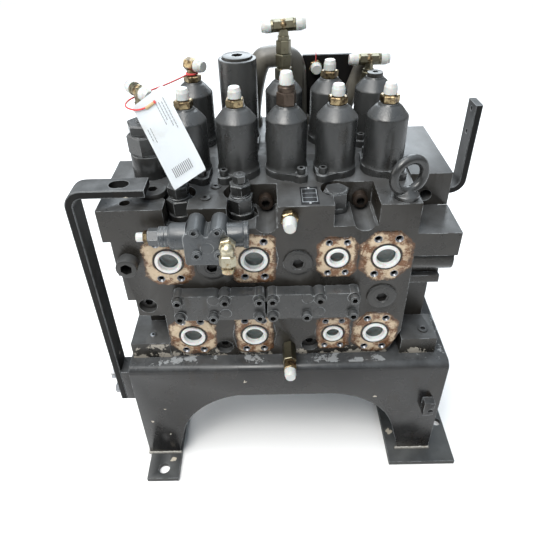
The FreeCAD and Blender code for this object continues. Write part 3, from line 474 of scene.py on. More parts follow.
metals = {
    "spool": metalMaterial("groundSteel", (0.50, 0.49, 0.47), (0.35, 0.33, 0.30), 0.3),
    "spring": metalMaterial("springSteel", (0.26, 0.26, 0.27), (0.16, 0.14, 0.12), 0.4),
    "zinc": metalMaterial("zincYellow", (0.36, 0.28, 0.16), (0.085, 0.058, 0.034), 0.36, 0.42),
    "olive": metalMaterial("oliveZinc", (0.20, 0.185, 0.13), (0.08, 0.065, 0.045), 0.36),
    "brown": metalMaterial("stainedSteel", (0.075, 0.055, 0.042), (0.035, 0.024, 0.018), 0.42, 0.5, 0.7),
    "oiled": metalMaterial("oiledSteel", (0.040, 0.028, 0.021), (0.014, 0.011, 0.009), 0.4, 0.45, 0.5),
    "bright": metalMaterial("brightZinc", (0.62, 0.63, 0.64), (0.36, 0.34, 0.30), 0.33),
    "chrome": metalMaterial("paleZinc", (0.56, 0.52, 0.40), (0.30, 0.22, 0.11), 0.45, 0.5),
    "dull": metalMaterial("dullZinc", (0.30, 0.31, 0.33), (0.16, 0.15, 0.13), 0.42, 0.5),
    "black": metalMaterial("plateBlack", (0.010, 0.010, 0.011), (0.03, 0.028, 0.025), 0.4, 0.6, 0.2),
    # painted shade: near-black for the insides of hex sockets and bolt-hole wells
    "recessShade": metalMaterial("socketShade", (0.007, 0.0065, 0.006), (0.02, 0.016, 0.012), 0.5, 0.6, 0.0),
}
plastics = {
    "white": plasticMaterial("whitePlug", (0.66, 0.67, 0.66), (0.34, 0.27, 0.18), 0.34, 0.0),
    "clear": plasticMaterial("clearCap", (0.56, 0.575, 0.56), (0.36, 0.30, 0.21), 0.28, 0.08),
    "amber": plasticMaterial("amberCap", (0.60, 0.50, 0.32), (0.36, 0.24, 0.12), 0.2, 0.4),
    # painted shade: grey-green inside of the white plug cups
    "inner": plasticMaterial("plugInsideShade", (0.11, 0.125, 0.12), (0.05, 0.045, 0.04), 0.12, 0.0),
}
paper = paperMaterial("tagPaper", (0.80, 0.84, 0.87), (0.64, 0.64, 0.62))
tanPaper = paperMaterial("tagEyeStrip", (0.50, 0.37, 0.20), (0.34, 0.25, 0.14))
greyInk = paperMaterial("tagRules", (0.20, 0.205, 0.22), (0.30, 0.30, 0.30))
redString = stringMaterial()
weldGrey = metalMaterial("weldBead", (0.36, 0.35, 0.32), (0.2, 0.18, 0.15), 0.5, 0.5, 0.6)
print("materials made")


# mesh helpers
def facing(place, direction, turn=0.0):
    spin = Matrix.Rotation(math.radians(turn), 4, "Z")
    return Matrix.Translation(place) @ Vector(direction).to_track_quat("Z", "Y").to_matrix().to_4x4() @ spin


def polar(radius, angle, height):
    return Vector((radius * math.cos(angle), radius * math.sin(angle), height))


def ringOf(bm, matrix, radius, height, count, turn=0.0):
    ring = []
    for index in range(count):
        angle = 2 * math.pi * index / count + math.radians(turn)
        ring.append(bm.verts.new(matrix @ polar(radius, angle, height)))
    return ring


def bridge(bm, low, high, tone=0):
    count = len(low)
    for index in range(count):
        face = bm.faces.new((low[index], low[(index + 1) % count], high[(index + 1) % count], high[index]))
        face.material_index = tone


def lathe(bm, matrix, profile, count=48, tone=0, turn=0.0, closeEnds=True):  # profile in millimetres
    rings = [ringOf(bm, matrix, radius * mm, height * mm, count, turn) for radius, height in profile]
    for low, high in zip(rings, rings[1:]):
        bridge(bm, low, high, tone)
    if closeEnds:
        bm.faces.new(list(reversed(rings[0]))).material_index = tone
        bm.faces.new(rings[-1]).material_index = tone
    return rings


def hexNut(bm, matrix, flats, low, high, tone=0, turn=0.0, chamfer=1.0):
    radius = flats / math.sqrt(3)
    narrow = radius - chamfer
    profile = [(narrow, low), (radius, low + chamfer), (radius, high - chamfer), (narrow, high)]
    lathe(bm, matrix, profile, 6, tone, turn)


def socketHead(bm, matrix, radius, height, socket, tone=0, count=36, chamfer=0.8, hollow=1, floor=0.12):
    edge = chamfer * 0.3
    profile = [(radius, 0), (radius, height - chamfer), (radius - edge, height - edge),
               (radius - chamfer, height)]
    rings = lathe(bm, matrix, profile, count, tone, closeEnds=False)
    corner = socket / math.sqrt(3)
    sides = []
    for depth in (height, height * floor):
        loop = []
        for index in range(count):
            angle = 2 * math.pi * index / count
            part = (angle % (math.pi / 3)) - math.pi / 6
            reach = corner * math.cos(math.pi / 6) / math.cos(part) * mm
            loop.append(bm.verts.new(matrix @ polar(reach, angle, depth * mm)))
        sides.append(loop)
    bridge(bm, rings[-1], sides[0], tone)
    # the hex recess takes slot hollow, which every caller fills with the near-black painted shade
    bridge(bm, sides[0], sides[1], hollow)
    bm.faces.new(sides[1]).material_index = hollow
    bm.faces.new(list(reversed(rings[0]))).material_index = tone


def roundEdges(bm, edges, bevel, tone):  # bevel in millimetres
    bmesh.ops.bevel(bm, geom=list(edges), offset=bevel * mm, segments=2, profile=0.6, affect="EDGES",
                    material=tone)


def boxInto(bm, low, high, bevel=1.0, tone=0):
    lowest, highest = at(*low), at(*high)
    made = bmesh.ops.create_cube(bm, size=1.0)["verts"]
    for vert in made:
        vert.co = Vector([lowest[i] if vert.co[i] < 0 else highest[i] for i in range(3)])
    faces = {face for vert in made for face in vert.link_faces}
    for face in faces:
        face.material_index = tone
    if bevel:
        roundEdges(bm, {edge for vert in made for edge in vert.link_edges}, bevel, tone)


def slabInto(bm, points, matrix, low, high, bevel=0.8, tone=0, pocket=None):  # an outline, raised
    base = [bm.verts.new(matrix @ Vector((x * mm, y * mm, low * mm))) for x, y in points]
    top = [bm.verts.new(matrix @ Vector((x * mm, y * mm, high * mm))) for x, y in points]
    bridge(bm, base, top, tone)
    if pocket:
        inner, deep = [ringOf(bm, matrix, pocket * mm, height * mm, 48, 0) for height in (low, high - 1)]
        bridge(bm, inner, deep, tone)
        bm.faces.new(deep).material_index = tone
        rim = [bm.edges.get(pair) for loop in (base, inner) for pair in zip(loop, loop[1:] + loop[:1])]
        bmesh.ops.triangle_fill(bm, use_beauty=True, use_dissolve=False, edges=rim)
    else:
        bm.faces.new(list(reversed(base))).material_index = tone
    cover = bm.faces.new(top)
    cover.material_index = tone
    if bevel:
        roundEdges(bm, cover.edges, bevel, tone)


def finishPiece(name, bm, materials, body="block", replaced=(), angle=38):
    bmesh.ops.recalc_face_normals(bm, faces=bm.faces[:])
    mesh = bpy.data.meshes.new(name)
    bm.to_mesh(mesh)
    bm.free()
    mesh.shade_smooth()
    mesh.set_sharp_from_angle(angle=math.radians(angle))
    piece = bpy.data.objects.new(name, mesh)
    show(piece)
    for material in materials:
        mesh.materials.append(material)
    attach(piece, body)
    if replaced:
        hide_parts(*replaced)
    return piece


def curveThrough(name, places, radius, steps, rounds):  # a round bar along a route
    data = bpy.data.curves.new(name, "CURVE")
    data.dimensions = "3D"
    spline = data.splines.new("NURBS")
    spline.points.add(len(places) - 1)
    for point, place in zip(spline.points, places):
        point.co = (*place, 1)
    spline.order_u = 3
    spline.use_endpoint_u = True
    spline.resolution_u = steps
    data.bevel_depth = radius * mm
    data.bevel_resolution = rounds
    data.use_fill_caps = True
    return data


# tag string, a free cord
tag = {"turn": 32.7, "lean": 35.4, "width": 59.0, "length": 138.0, "corner": (-171.5, 91, deck + 120.3),
       "hole": 15.0, "loopStart": 24.0, "loopLength": 10.0, "loopRise": 1.9}
turn, lean = math.radians(tag["turn"]), math.radians(tag["lean"])
tagAcross = Vector((math.cos(turn), 0, math.sin(turn)))
tagAlong = Vector((math.cos(lean) * math.sin(turn), -math.sin(lean), -math.cos(lean) * math.cos(turn)))
tagOut = tagAlong.cross(tagAcross)
capColumns = [-99.3 + 77.2 * index for index in range(5)]
frontRow, rearRow = 114.0, 239.0
crown = deck + 110


def onTag(across, along, out=0.0):
    return at(*tag["corner"]) + (tagAcross * across + tagAlong * along + tagOut * out) * mm


def stringPoints():
    neck = (capColumns[0], rearRow, crown + 13)
    return [
        at(neck[0] - 6.8, neck[1] - 6.8, neck[2]),
        at(neck[0] - 26.7, neck[1] - 45, neck[2]),
        at(neck[0] - 49.7, neck[1] - 83, neck[2] + 2),
        at(-169.5, 137.5, neck[2] - 0.5),
        at(-184.5, 119, neck[2] - 2.5),
        at(-182, 89, neck[2] - 2.5),
        onTag(tag["loopStart"] - 12, tag["hole"], tag["loopRise"]),
        onTag(tag["loopStart"] + tag["loopLength"] + 2, tag["hole"], tag["loopRise"]),
    ]


def makeString():
    points = stringPoints()
    data = curveThrough("tagString", points, 1.3, 12, 4)
    data.materials.append(redString)
    piece = bpy.data.objects.new("tagString", data)
    show(piece)
    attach(piece, "block")
    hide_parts("tag_string")
    knots = bmesh.new()
    neckRing = facing(at(capColumns[0], rearRow, crown + 11.7), up)
    lathe(knots, neckRing, [(8.2, 0), (10.3, 0.2), (10.8, 1.4), (10.3, 2.5), (8.2, 2.7)], 32)
    tagKnot = facing(onTag(35, tag["hole"], tag["loopRise"]), tagAcross)
    lathe(knots, tagKnot, [(0.6, 0), (2.2, 0.6), (2.7, 1.8), (2.2, 3.0), (0.6, 3.6)], 16)
    finishPiece("stringKnots", knots, [redString])


makeString()
print("cord made")


# spring caps
capShape = {"flange": 34.5, "flangeTop": 12.0, "radius": 32.0, "shoulder": 92.0, "crownRadius": 15.5,
            "crownTop": 110.0, "bore": 25.0, "earReach": 41.0, "earAngle": 58.0, "earRadius": 10.5,
            "tallTop": 146.0}


def earDirection(number, row):
    side = 1 if number % 2 == 0 else -1
    front = -1 if row == frontRow else 1
    angle = math.radians(capShape["earAngle"])
    return Vector((side * math.cos(angle), front * math.sin(angle), 0))


def flangeOutline(number, row):
    reach = earDirection(number, row)
    base = math.atan2(reach.y, reach.x)
    outline = []
    disc, ear, far = capShape["flange"], capShape["earRadius"], capShape["earReach"]
    spread = math.radians(33)
    for side in (0, math.pi):
        earX, earY = far * math.cos(base + side), far * math.sin(base + side)
        for index in range(9):
            angle = base + side - math.radians(75) + math.radians(150) * index / 8
            outline.append((earX + ear * math.cos(angle), earY + ear * math.sin(angle)))
        for index in range(15):
            angle = base + side + spread + (math.pi - 2 * spread) * index / 14
            outline.append((disc * math.cos(angle), disc * math.sin(angle)))
    return outline


def springCap(name, x, row, number, cadNode):
    bm = bmesh.new()
    seat = facing(at(x, row, deck), up)
    slabInto(bm, flangeOutline(number, row), seat, 0.05, capShape["flangeTop"], 1.2, pocket=capShape["bore"])
    radius, shoulder, top = capShape["radius"], capShape["shoulder"], capShape["crownTop"]
    bore, cone = capShape["bore"], capShape["crownRadius"]
    profile = [(bore, shoulder - 0.5), (bore, 10), (radius + 2.2, 10), (radius + 2.0, 12.6),
               (radius + 0.9, 14.2), (radius + 0.2, 17), (radius, 22), (radius, shoulder - 3),
               (radius - 0.5, shoulder - 1), (radius - 1.8, shoulder + 0.6)]
    profile += [(cone + 5.5, top - 6.2), (cone + 2.2, top - 3.6), (cone + 0.6, top - 2.6),
                (cone, top - 1), (cone - 0.7, top)]
    lathe(bm, seat, profile, 64)
    reach = earDirection(number, row) * capShape["earReach"]
    for sign in (-1, 1):
        spot = facing(at(x + sign * reach.x, row + sign * reach.y, deck), up)
        lathe(bm, spot, [(9.2, 10), (9.2, 12.5), (8.7, 13)], 24)
    finishPiece(name, bm, [paints["cap"]], replaced=[cadNode])


def tallCap():
    bm = bmesh.new()
    x = capColumns[1]
    seat = facing(at(x, rearRow, deck), up)
    slabInto(bm, flangeOutline(1, rearRow), seat, 0.05, capShape["flangeTop"], 1.2)
    radius, top = capShape["radius"], capShape["tallTop"]
    profile = [(radius + 2, 10), (radius + 1.6, 13), (radius + 0.3, 17), (radius, 24), (radius, top - 2.5),
               (radius - 0.8, top - 0.8), (radius - 2.6, top), (26.2, top), (25.6, top - 1.2), (25.4, top - 4)]
    lathe(bm, seat, profile, 64)
    finishPiece("tallSpringCap", bm, [paints["cap"]], replaced=["tall_cap"])


for rowName, row in (("front", frontRow), ("rear", rearRow)):
    for number, x in enumerate(capColumns):
        if rowName == "rear" and number == 1:
            continue
        label = rowName + "_" + str(number + 1)
        springCap("springCap_" + label, x, row, number, "spring_cap_" + label)
tallCap()


def capScrews():
    bm = bmesh.new()
    random.seed(4)
    for row in (frontRow, rearRow):
        for number, x in enumerate(capColumns):
            reach = earDirection(number, row) * capShape["earReach"]
            for sign in (-1, 1):
                spot = at(x + sign * reach.x, row + sign * reach.y, deck + capShape["flangeTop"])
                seat = facing(spot, up, random.uniform(0, 60))
                socketHead(bm, seat, 6.5, 11, 6.5, 0, 24, 0.7)
    materials = [paints["valve"], metals["recessShade"]]
    finishPiece("capScrewHeads", bm, materials, replaced=["cap_screws"])


capScrews()
print("spring caps made")


# port plugs: white cups with a lip
def portPlugs():
    bm = bmesh.new()
    for x, z, big in portPlaces:
        outer = portRadius[big] - 0.05
        seat = facing(at(x, padFace, z), forward)
        lip = [(outer, -24.3), (outer, 1.2), (outer - 0.5, 2.2), (outer - 1.4, 2.6), (outer - 4.2, 2.6),
               (outer - 5.2, 2.2), (outer - 5.6, 1.2), (outer - 5.9, -4), (outer - 6.6, -5)]
        lathe(bm, seat, lip, 48, 0, closeEnds=False)
        # the cup's inside takes slot 1, the painted shade
        cup = [(outer - 6.6, -5), (outer - 7.0, -11), (outer - 8.5, -12.4), (outer - 11, -12.8), (0.5, -12.2)]
        lathe(bm, seat, cup, 48, 1, closeEnds=False)
    materials = [plastics["white"], plastics["inner"]]
    finishPiece("portPlugCups", bm, materials, replaced=["port_plugs"])
    edges = bmesh.new()
    for x, z, big in portPlaces:
        halfX, halfZ, radius = (15.9, 33.35, 6.0) if big else (13.9, 28.6, 5.1)
        for signX in (-1, 1):
            for signZ in (-1, 1):
                seat = facing(at(x + signX * halfX, padFace, z + signZ * halfZ), forward)
                rim = [(radius + 0.5, 0), (radius + 0.4, 0.12), (radius - 0.1, 0.1), (radius - 2.2, -3.4)]
                lathe(edges, seat, rim, 28, 0, closeEnds=False)
                # the bolt-hole wells take the near-black painted shade
                well = [(radius - 2.2, -3.4), (radius - 2.3, -10), (0.4, -10)]
                lathe(edges, seat, well, 28, 1, closeEnds=False)
    finishPiece("boltHoleEdges", edges, [metals["dull"], metals["recessShade"]])


def socketPlugs():
    bm = bmesh.new()
    faces = [(-67.0, standTop + 202, 24), (68.7, standTop + 206, 23), (207.5, standTop + 133, 24)]
    for x, z, radius in faces:
        seat = facing(at(x, 5, z), forward, 14)
        socketHead(bm, seat, radius, 8, 16, 0, 48, 1.2)
        collar = [(radius - 4.5, 7.9), (radius - 4.5, 8.5), (radius - 6, 8.7), (11.5, 8.7), (11, 8.0)]
        lathe(bm, seat, collar, 48, 0, closeEnds=False)
    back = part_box("rear_housing")[1].y / mm - origin.y / mm
    for x, big in upperPorts:
        if big:
            seat = facing(at(x, back - 5, upperRow), backward, 14)
            socketHead(bm, seat, 24, 8, 16, 0, 48, 1.2)
    for x, z in [(91.7, standTop + 24), (-59.9, standTop + 22), (-181.5, standTop + 123)]:
        socketHead(bm, facing(at(x, 18, z), forward, 8), 14.9, 8, 12, 0, 36, 1)
    socketHead(bm, facing(at(-152, 50, deck), up, 10), 21, 8, 14, 0, 48, 1.4)
    socketHead(bm, facing(at(capColumns[4], rearRow, crown), up, 5), 13.5, 7, 9, 0, 36, 0.8)
    socketHead(bm, facing(at(capColumns[1], rearRow, deck + 106), up, 20), 25, 44, 17, 0, 56, 1.6)
    materials = [paints["plug"], metals["recessShade"]]
    finishPiece("socketPlugHeads", bm, materials, replaced=["socket_plugs"])


portPlugs()
socketPlugs()


# check valve covers
coverShape = {"left": -134.0, "width": 149.0, "gap": 3.5, "depth": 22.0, "bottom": 108.0, "height": 52.0,
              "face": -23.5, "inset": 9.0}


def coverPlaces(number):  # a cover's lower left corner and its screws
    x0 = coverShape["left"] + number * (coverShape["width"] + coverShape["gap"])
    z0 = standTop + coverShape["bottom"]
    width, inset = coverShape["width"], coverShape["inset"]
    high, low = z0 + coverShape["height"] - inset, z0 + inset
    places = [(x0 + inset, high), (x0 + 0.57 * width, high), (x0 + width - inset, high)]
    places += [(x0 + inset, low), (x0 + 0.43 * width, low), (x0 + width - inset, low)]
    return x0, z0, places


def checkCover(number, side):
    bm = bmesh.new()
    x0, z0, places = coverPlaces(number)
    x1, z1 = x0 + coverShape["width"], z0 + coverShape["height"]
    middle = (x0 + x1) / 2 + 8
    outline = [(x0 + 2, z0), (x1 - 2, z0), (x1, z0 + 2), (x1, z1 - 2), (x1 - 2, z1),
               (middle + 14, z1), (middle + 10, z1 - 2), (middle + 7, z1 - 6),
               (middle - 7, z1 - 6), (middle - 10, z1 - 2), (middle - 14, z1),
               (x0 + 2, z1), (x0, z1 - 2), (x0, z0 + 2)]
    wall = Matrix.Translation(at(0, padFace, 0)) @ Matrix.Rotation(math.radians(90), 4, "X")
    slabInto(bm, outline, wall, 0, coverShape["depth"], 1.6)
    for x, z in places:
        lathe(bm, facing(at(x, -1.7, z), forward), [(10.9, 0), (10.9, 21), (10.4, 22), (9.6, 22.25)], 32)
    for x, z in ((x0 + 65.6, z1 - 9), (x0 + 84.4, z0 + 15)):
        seat = facing(at(x, coverShape["face"], z), forward)
        lathe(bm, seat, [(9.5, -0.5), (9.2, 0.5), (8.0, 1.0), (0.8, 1.0)], 32)
    finishPiece("checkCover_" + side, bm, [paints["valve"]], replaced=["check_cover_" + side])


def coverScrews():
    bm = bmesh.new()
    random.seed(7)
    for number in (0, 1):
        for x, z in coverPlaces(number)[2]:
            seat = facing(at(x, coverShape["face"], z), forward, random.uniform(0, 60))
            socketHead(bm, seat, 8, 9, 8.5, 0, 30, 0.9)
    materials = [paints["valve"], metals["recessShade"]]
    finishPiece("coverScrewHeads", bm, materials, replaced=["cover_screws"])


def tieScrews():
    bm = bmesh.new()
    for x in (20.5, 169.5):
        socketHead(bm, facing(at(x, 72, deck - 27), forward, 12), 12, 15, 12, 0, 36, 1, 2)
    socketHead(bm, facing(at(-197, 0, standTop + 215), forward, 25), 16.5, 20, 17, 1, 40, 1.4, 2)
    materials = [metals["oiled"], paints["plug"], metals["recessShade"]]
    finishPiece("tieScrewHeads", bm, materials, replaced=["tie_screws"])


def smallPlugs():
    bm = bmesh.new()
    for x, y in ((-70.5, 30.7), (-56.8, 66.2)):
        socketHead(bm, facing(at(x, y, deck), up, 12), 8.5, 2.2, 6, 0, 32, 0.7, 2)
    for x, y, radius in ((-190, 20, 5.5), (296, 20, 9)):
        tone = 1 if radius < 6 else 0
        socketHead(bm, facing(at(x, y, standTop + 35), up, 8), radius, 2.4, radius * 0.9, tone, 28, 0.6, 2)
    finishPiece("smallPlugHeads", bm, [paints["plug"], metals["bright"], metals["recessShade"]])


def weldBeads():
    bm = bmesh.new()
    random.seed(11)
    runs = [((272, -33), (336, -33)), ((-231, -33), (-170, -33)),
            ((-232, -33), (-232, 20)), ((337, -33), (337, 30))]
    for (x0, y0), (x1, y1) in runs:
        steps = int(math.hypot(x1 - x0, y1 - y0) / 2.6)
        for step in range(steps + 1):
            share = step / steps
            spot = at(x0 + (x1 - x0) * share, y0 + (y1 - y0) * share, 10.4 + random.uniform(-0.3, 0.3))
            stretch = Matrix.Diagonal((0.0034, 0.0034, 0.0040 + random.uniform(-0.0005, 0.0005), 1))
            bead = Matrix.Translation(spot) @ stretch
            bmesh.ops.create_icosphere(bm, subdivisions=2, radius=1.0, matrix=bead)
    finishPiece("standWeldBeads", bm, [weldGrey])


smallPlugs()
weldBeads()
checkCover(0, "left")
checkCover(1, "right")
coverScrews()
tieScrews()
print("covers and screws made")


# cartridges on the deck
cartridgeShape = {"places": ((-112, 10), (-18, 24)), "y": 48, "recess": 46, "bodyFlats": 36,
                  "nutFlats": 30, "screwFlats": 19}
capPlug = {"x": 129.5, "y": 52, "recess": 36, "flats": 36}


def deckCartridges():
    bm = bmesh.new()
    base = deck - cartridgeShape["recess"]
    for x, twist in cartridgeShape["places"]:
        seat = facing(at(x, cartridgeShape["y"], base), up)
        lathe(bm, seat, [(20, 0), (20, 15), (19.2, 16)], 40)
        hexNut(bm, seat, cartridgeShape["bodyFlats"], 16, 40, 0, twist, 1.6)
        lathe(bm, seat, [(16.2, 39), (16.2, 42.5), (14.8, 43.5), (14.8, 46)], 36)
        hexNut(bm, seat, cartridgeShape["nutFlats"], 45.5, 62, 0, twist + 15, 1.4)
        lathe(bm, seat, [(9.2, 61), (9.2, 64.5)], 24)
        hexNut(bm, seat, cartridgeShape["screwFlats"], 64, 76, 0, twist - 5, 0.9)
        lathe(bm, seat, [(4.2, 75.5), (4.2, 77), (3.6, 77), (3.4, 74)], 20)
    seat = facing(at(capPlug["x"], capPlug["y"], deck - capPlug["recess"]), up)
    lathe(bm, seat, [(20, 0), (20, 7.6), (19, 9)], 40)
    hexNut(bm, seat, capPlug["flats"], 8.6, 35, 0, 12, 1.8)
    lathe(bm, seat, [(15.5, 34.6), (15.2, 36)], 36)
    finishPiece("deckCartridgeBodies", bm, [paints["valve"]], replaced=["deck_cartridges"])


eyeShape = {"x": 229, "y": 20, "rise": 35, "major": 25.3, "minor": 7.2, "turn": 20, "around": 64, "tube": 24}


def eyebolt():
    bm = bmesh.new()
    x, y = eyeShape["x"], eyeShape["y"]
    seat = facing(at(x, y, deck), up)
    lathe(bm, seat, [(18.5, 0.05), (18.5, 6.4), (17, 8), (14, 9), (11.5, 10.8), (9, 12.6), (6.4, 14.6)], 40)
    ringTurn = math.radians(eyeShape["turn"])
    ringAxis = Vector((-math.sin(ringTurn), math.cos(ringTurn), 0))
    ringSeat = facing(at(x, y, deck + eyeShape["rise"]), ringAxis)
    major, minor = eyeShape["major"] * mm, eyeShape["minor"] * mm
    around, tube = eyeShape["around"], eyeShape["tube"]
    rings = []
    for i in range(around):
        a = 2 * math.pi * i / around
        loop = []
        for j in range(tube):
            b = 2 * math.pi * j / tube
            reach = major + minor * math.cos(b)
            loop.append(bm.verts.new(ringSeat @ polar(reach, a, minor * math.sin(b))))
        rings.append(loop)
    for i in range(around):
        bridge(bm, rings[i], rings[(i + 1) % around])
    finishPiece("eyeboltRing", bm, [paints["valve"]], replaced=["eyebolt"])


def nameplate():
    bm = bmesh.new()
    x0, x1, y0, y1 = (plateShape[key] for key in ("left", "right", "front", "back"))
    top = deck + plateShape["thickness"]
    boxInto(bm, (x0, y0, deck), (x1, y1, top), 0.25)
    a, b, c, d = x0 + 2, x1 - 2, y0 + 6, y1 - 6
    border = [((a, c), (b, c + 0.8)), ((a, d - 0.8), (b, d)), ((a, c), (a + 0.8, d)), ((b - 0.8, c), (b, d))]
    for low, high in border + [((a, y), (b, y + 0.5)) for y in (37, 24)]:
        boxInto(bm, (*low, top - 0.05), (*high, top + 0.25), 0, 1)
    for y in (y0 + 3, y1 - 3):
        rivet = facing(at((x0 + x1) / 2, y, top), up)
        lathe(bm, rivet, [(2.0, 0), (1.9, 0.35), (1.2, 0.8), (0.4, 0.95)], 20, 1)
    finishPiece("nameplateBare", bm, [metals["black"], metals["bright"]], replaced=["nameplate"])


deckCartridges()
eyebolt()
nameplate()


# pilot valve on the port face
pilotShape = {"left": -99, "right": -33, "top": 6, "bottom": 70, "depth": 44, "axisY": -22, "axisZ": 32,
              "lobes": (-47.5, -82), "lobe": 12.5}


def pilotValve():
    bm = bmesh.new()
    x0, x1, depth, lobe = (pilotShape[key] for key in ("left", "right", "depth", "lobe"))
    high, low = deck - pilotShape["top"], deck - pilotShape["bottom"]
    axisY, axisZ = pilotShape["axisY"], deck - pilotShape["axisZ"]
    outline = [(x1, low + 3), (x1, high - 17), (x1 - 2, high - 14)]
    for x in pilotShape["lobes"]:
        for index in range(13):
            angle = math.radians(12 + 156 * index / 12)
            outline.append((x + lobe * math.cos(angle), high - lobe + lobe * math.sin(angle)))
        if x == pilotShape["lobes"][0]:
            outline += [(-61.5, high - 15.5), (-65, high - 17), (-68.5, high - 15.5)]
    outline += [(x0 + 2, high - 14), (x0, high - 17), (x0, low + 3), (x0 + 3, low), (x1 - 3, low)]
    wall = Matrix.Translation(at(0, -0.2, 0)) @ Matrix.Rotation(math.radians(90), 4, "X")
    slabInto(bm, outline, wall, 0, depth, 2.6)
    for x, z in ((-81, deck - 11), (-48, deck - 11), (-81, deck - 51), (-48, deck - 51)):
        socketHead(bm, facing(at(x, 0.4 - depth, z), forward, 20), 7.4, 4.8, 7, 0, 28, 0.8, 3)
    lathe(bm, facing(at(-65, -depth, deck - 40), forward), [(9.5, -0.5), (9.2, 0.5), (8.0, 0.9), (0.8, 0.9)], 32)
    barrel = facing(at(x0, axisY, axisZ), left)
    lathe(bm, barrel, [(20, -4), (20, 18), (19, 20.5), (17, 22), (15.5, 22)], 48)
    grooved = [(15.3, 21.5), (15.3, 27), (14.6, 27.6), (15.3, 28.2), (15.3, 32), (14.6, 32.6), (15.3, 33.2),
               (15.3, 36.4), (14, 37.2)]
    lathe(bm, barrel, grooved, 40)
    hexNut(bm, barrel, 23, 37, 53, 0, 10, 1.2)
    hexNut(bm, barrel, 17, 53, 60, 1, 0, 0.9)
    lathe(bm, barrel, [(7, 60), (7, 69.5), (6.4, 70.5), (5.2, 71)], 28, 2)
    other = facing(at(x1, axisY, axisZ), right)
    lathe(bm, other, [(18, -3), (18, 19), (19, 21), (20, 22), (20, 27), (19, 28), (14, 28), (12.5, 25.5)], 48)
    materials = [paints["pilot"], metals["zinc"], plastics["clear"], metals["recessShade"]]
    finishPiece("pilotValveBody", bm, materials, replaced=["pilot_valve", "pilot_adjuster"])


def pilotElbow():
    bm = bmesh.new()
    start = at(pilotShape["right"] - 2, -pilotShape["depth"], deck - pilotShape["axisZ"])
    hexNut(bm, facing(start, forward), 22, 0, 10, 0, 15, 1.2)
    centre = start + Vector((0, -13.2, -2)) * mm
    drop = Vector((0, -0.35, -1)).normalized()
    bmesh.ops.create_icosphere(bm, subdivisions=3, radius=10.6 * mm, matrix=Matrix.Translation(centre))
    leg = facing(centre, drop)
    lathe(bm, leg, [(9.8, 2), (9.8, 9)], 32)
    hexNut(bm, leg, 21.6, 8, 24, 0, 8, 1.3)
    lathe(bm, leg, [(9.6, 23.5), (10.2, 24.5), (10.2, 27), (9.4, 28)], 32, 2)
    lathe(bm, leg, [(8.8, 28), (8.8, 33.5), (7.6, 35), (6, 35.5)], 32, 1)
    materials = [metals["chrome"], plastics["amber"], metals["zinc"]]
    finishPiece("pilotElbowFitting", bm, materials, replaced=["pilot_elbow"])


cornerPlace = (-164.5, 121)


def cornerValve():
    bm = bmesh.new()
    seat = facing(at(*cornerPlace, deck), up)
    lathe(bm, seat, [(30, 0.1), (30, 37), (29, 38.5), (27, 39)], 56)
    hexNut(bm, seat, 54, 39, 71, 0, 20, 2.4)
    hexNut(bm, seat, 50, 71, 88, 0, 50, 2.2)
    lathe(bm, seat, [(12, 87.5), (12, 91), (9, 92), (9, 111.5)], 32)
    finishPiece("cornerValveBody", bm, [paints["valve"]], replaced=["corner_valve"])


pilotValve()
pilotElbow()
cornerValve()


# small fittings and screw caps
def screwCap(bm, seat, length=15.8, radius=10.4, tone=2):
    ribs = 24
    rings = []
    steps = ((0, 1.0), (length * 0.62, 0.97), (length * 0.66, 0.9), (length * 0.93, 0.84), (length, 0.76))
    for height, share in steps:
        loop = []
        for index in range(ribs * 2):
            angle = math.pi * index / ribs
            reach = radius * share * (0.965 if index % 2 and height < length * 0.63 else 1.0) * mm
            loop.append(bm.verts.new(seat @ polar(reach, angle, height * mm)))
        rings.append(loop)
    for low, high in zip(rings, rings[1:]):
        bridge(bm, low, high, tone)
    bm.faces.new(list(reversed(rings[0]))).material_index = tone
    bm.faces.new(rings[-1]).material_index = tone


def teeFitting(bm, centre, direction, reach, tone):
    span = 2 * reach
    run = facing(centre - direction * reach * mm, direction)
    hexNut(bm, run, 17, 3, span - 3, tone, 15, 1.2)
    lathe(bm, run, [(9.8, 0), (10, 0.5), (10, 3.5), (9, 4.4)], 28, tone)
    lathe(bm, run, [(9, span - 4.4), (10, span - 3.5), (10, span - 0.5), (9.8, span)], 28, tone)
    bmesh.ops.create_icosphere(bm, subdivisions=3, radius=9.8 * mm, matrix=Matrix.Translation(centre))
    stem = facing(centre, down)
    lathe(bm, stem, [(8, 4), (8, 15), (9.4, 16), (9.4, 22)], 28, tone)
    for sign in (-1, 1):
        screwCap(bm, facing(centre + direction * (sign * reach * mm), direction * sign))


# places of the fittings away from the caps
backX, backY = 208, rearRow + 56
highX, highZ = 55, standTop + 291
lowX, lowZ = 54.3, standTop + 22
wallX, wallY, wallZ = 118, rearRow + 104, deck + 99


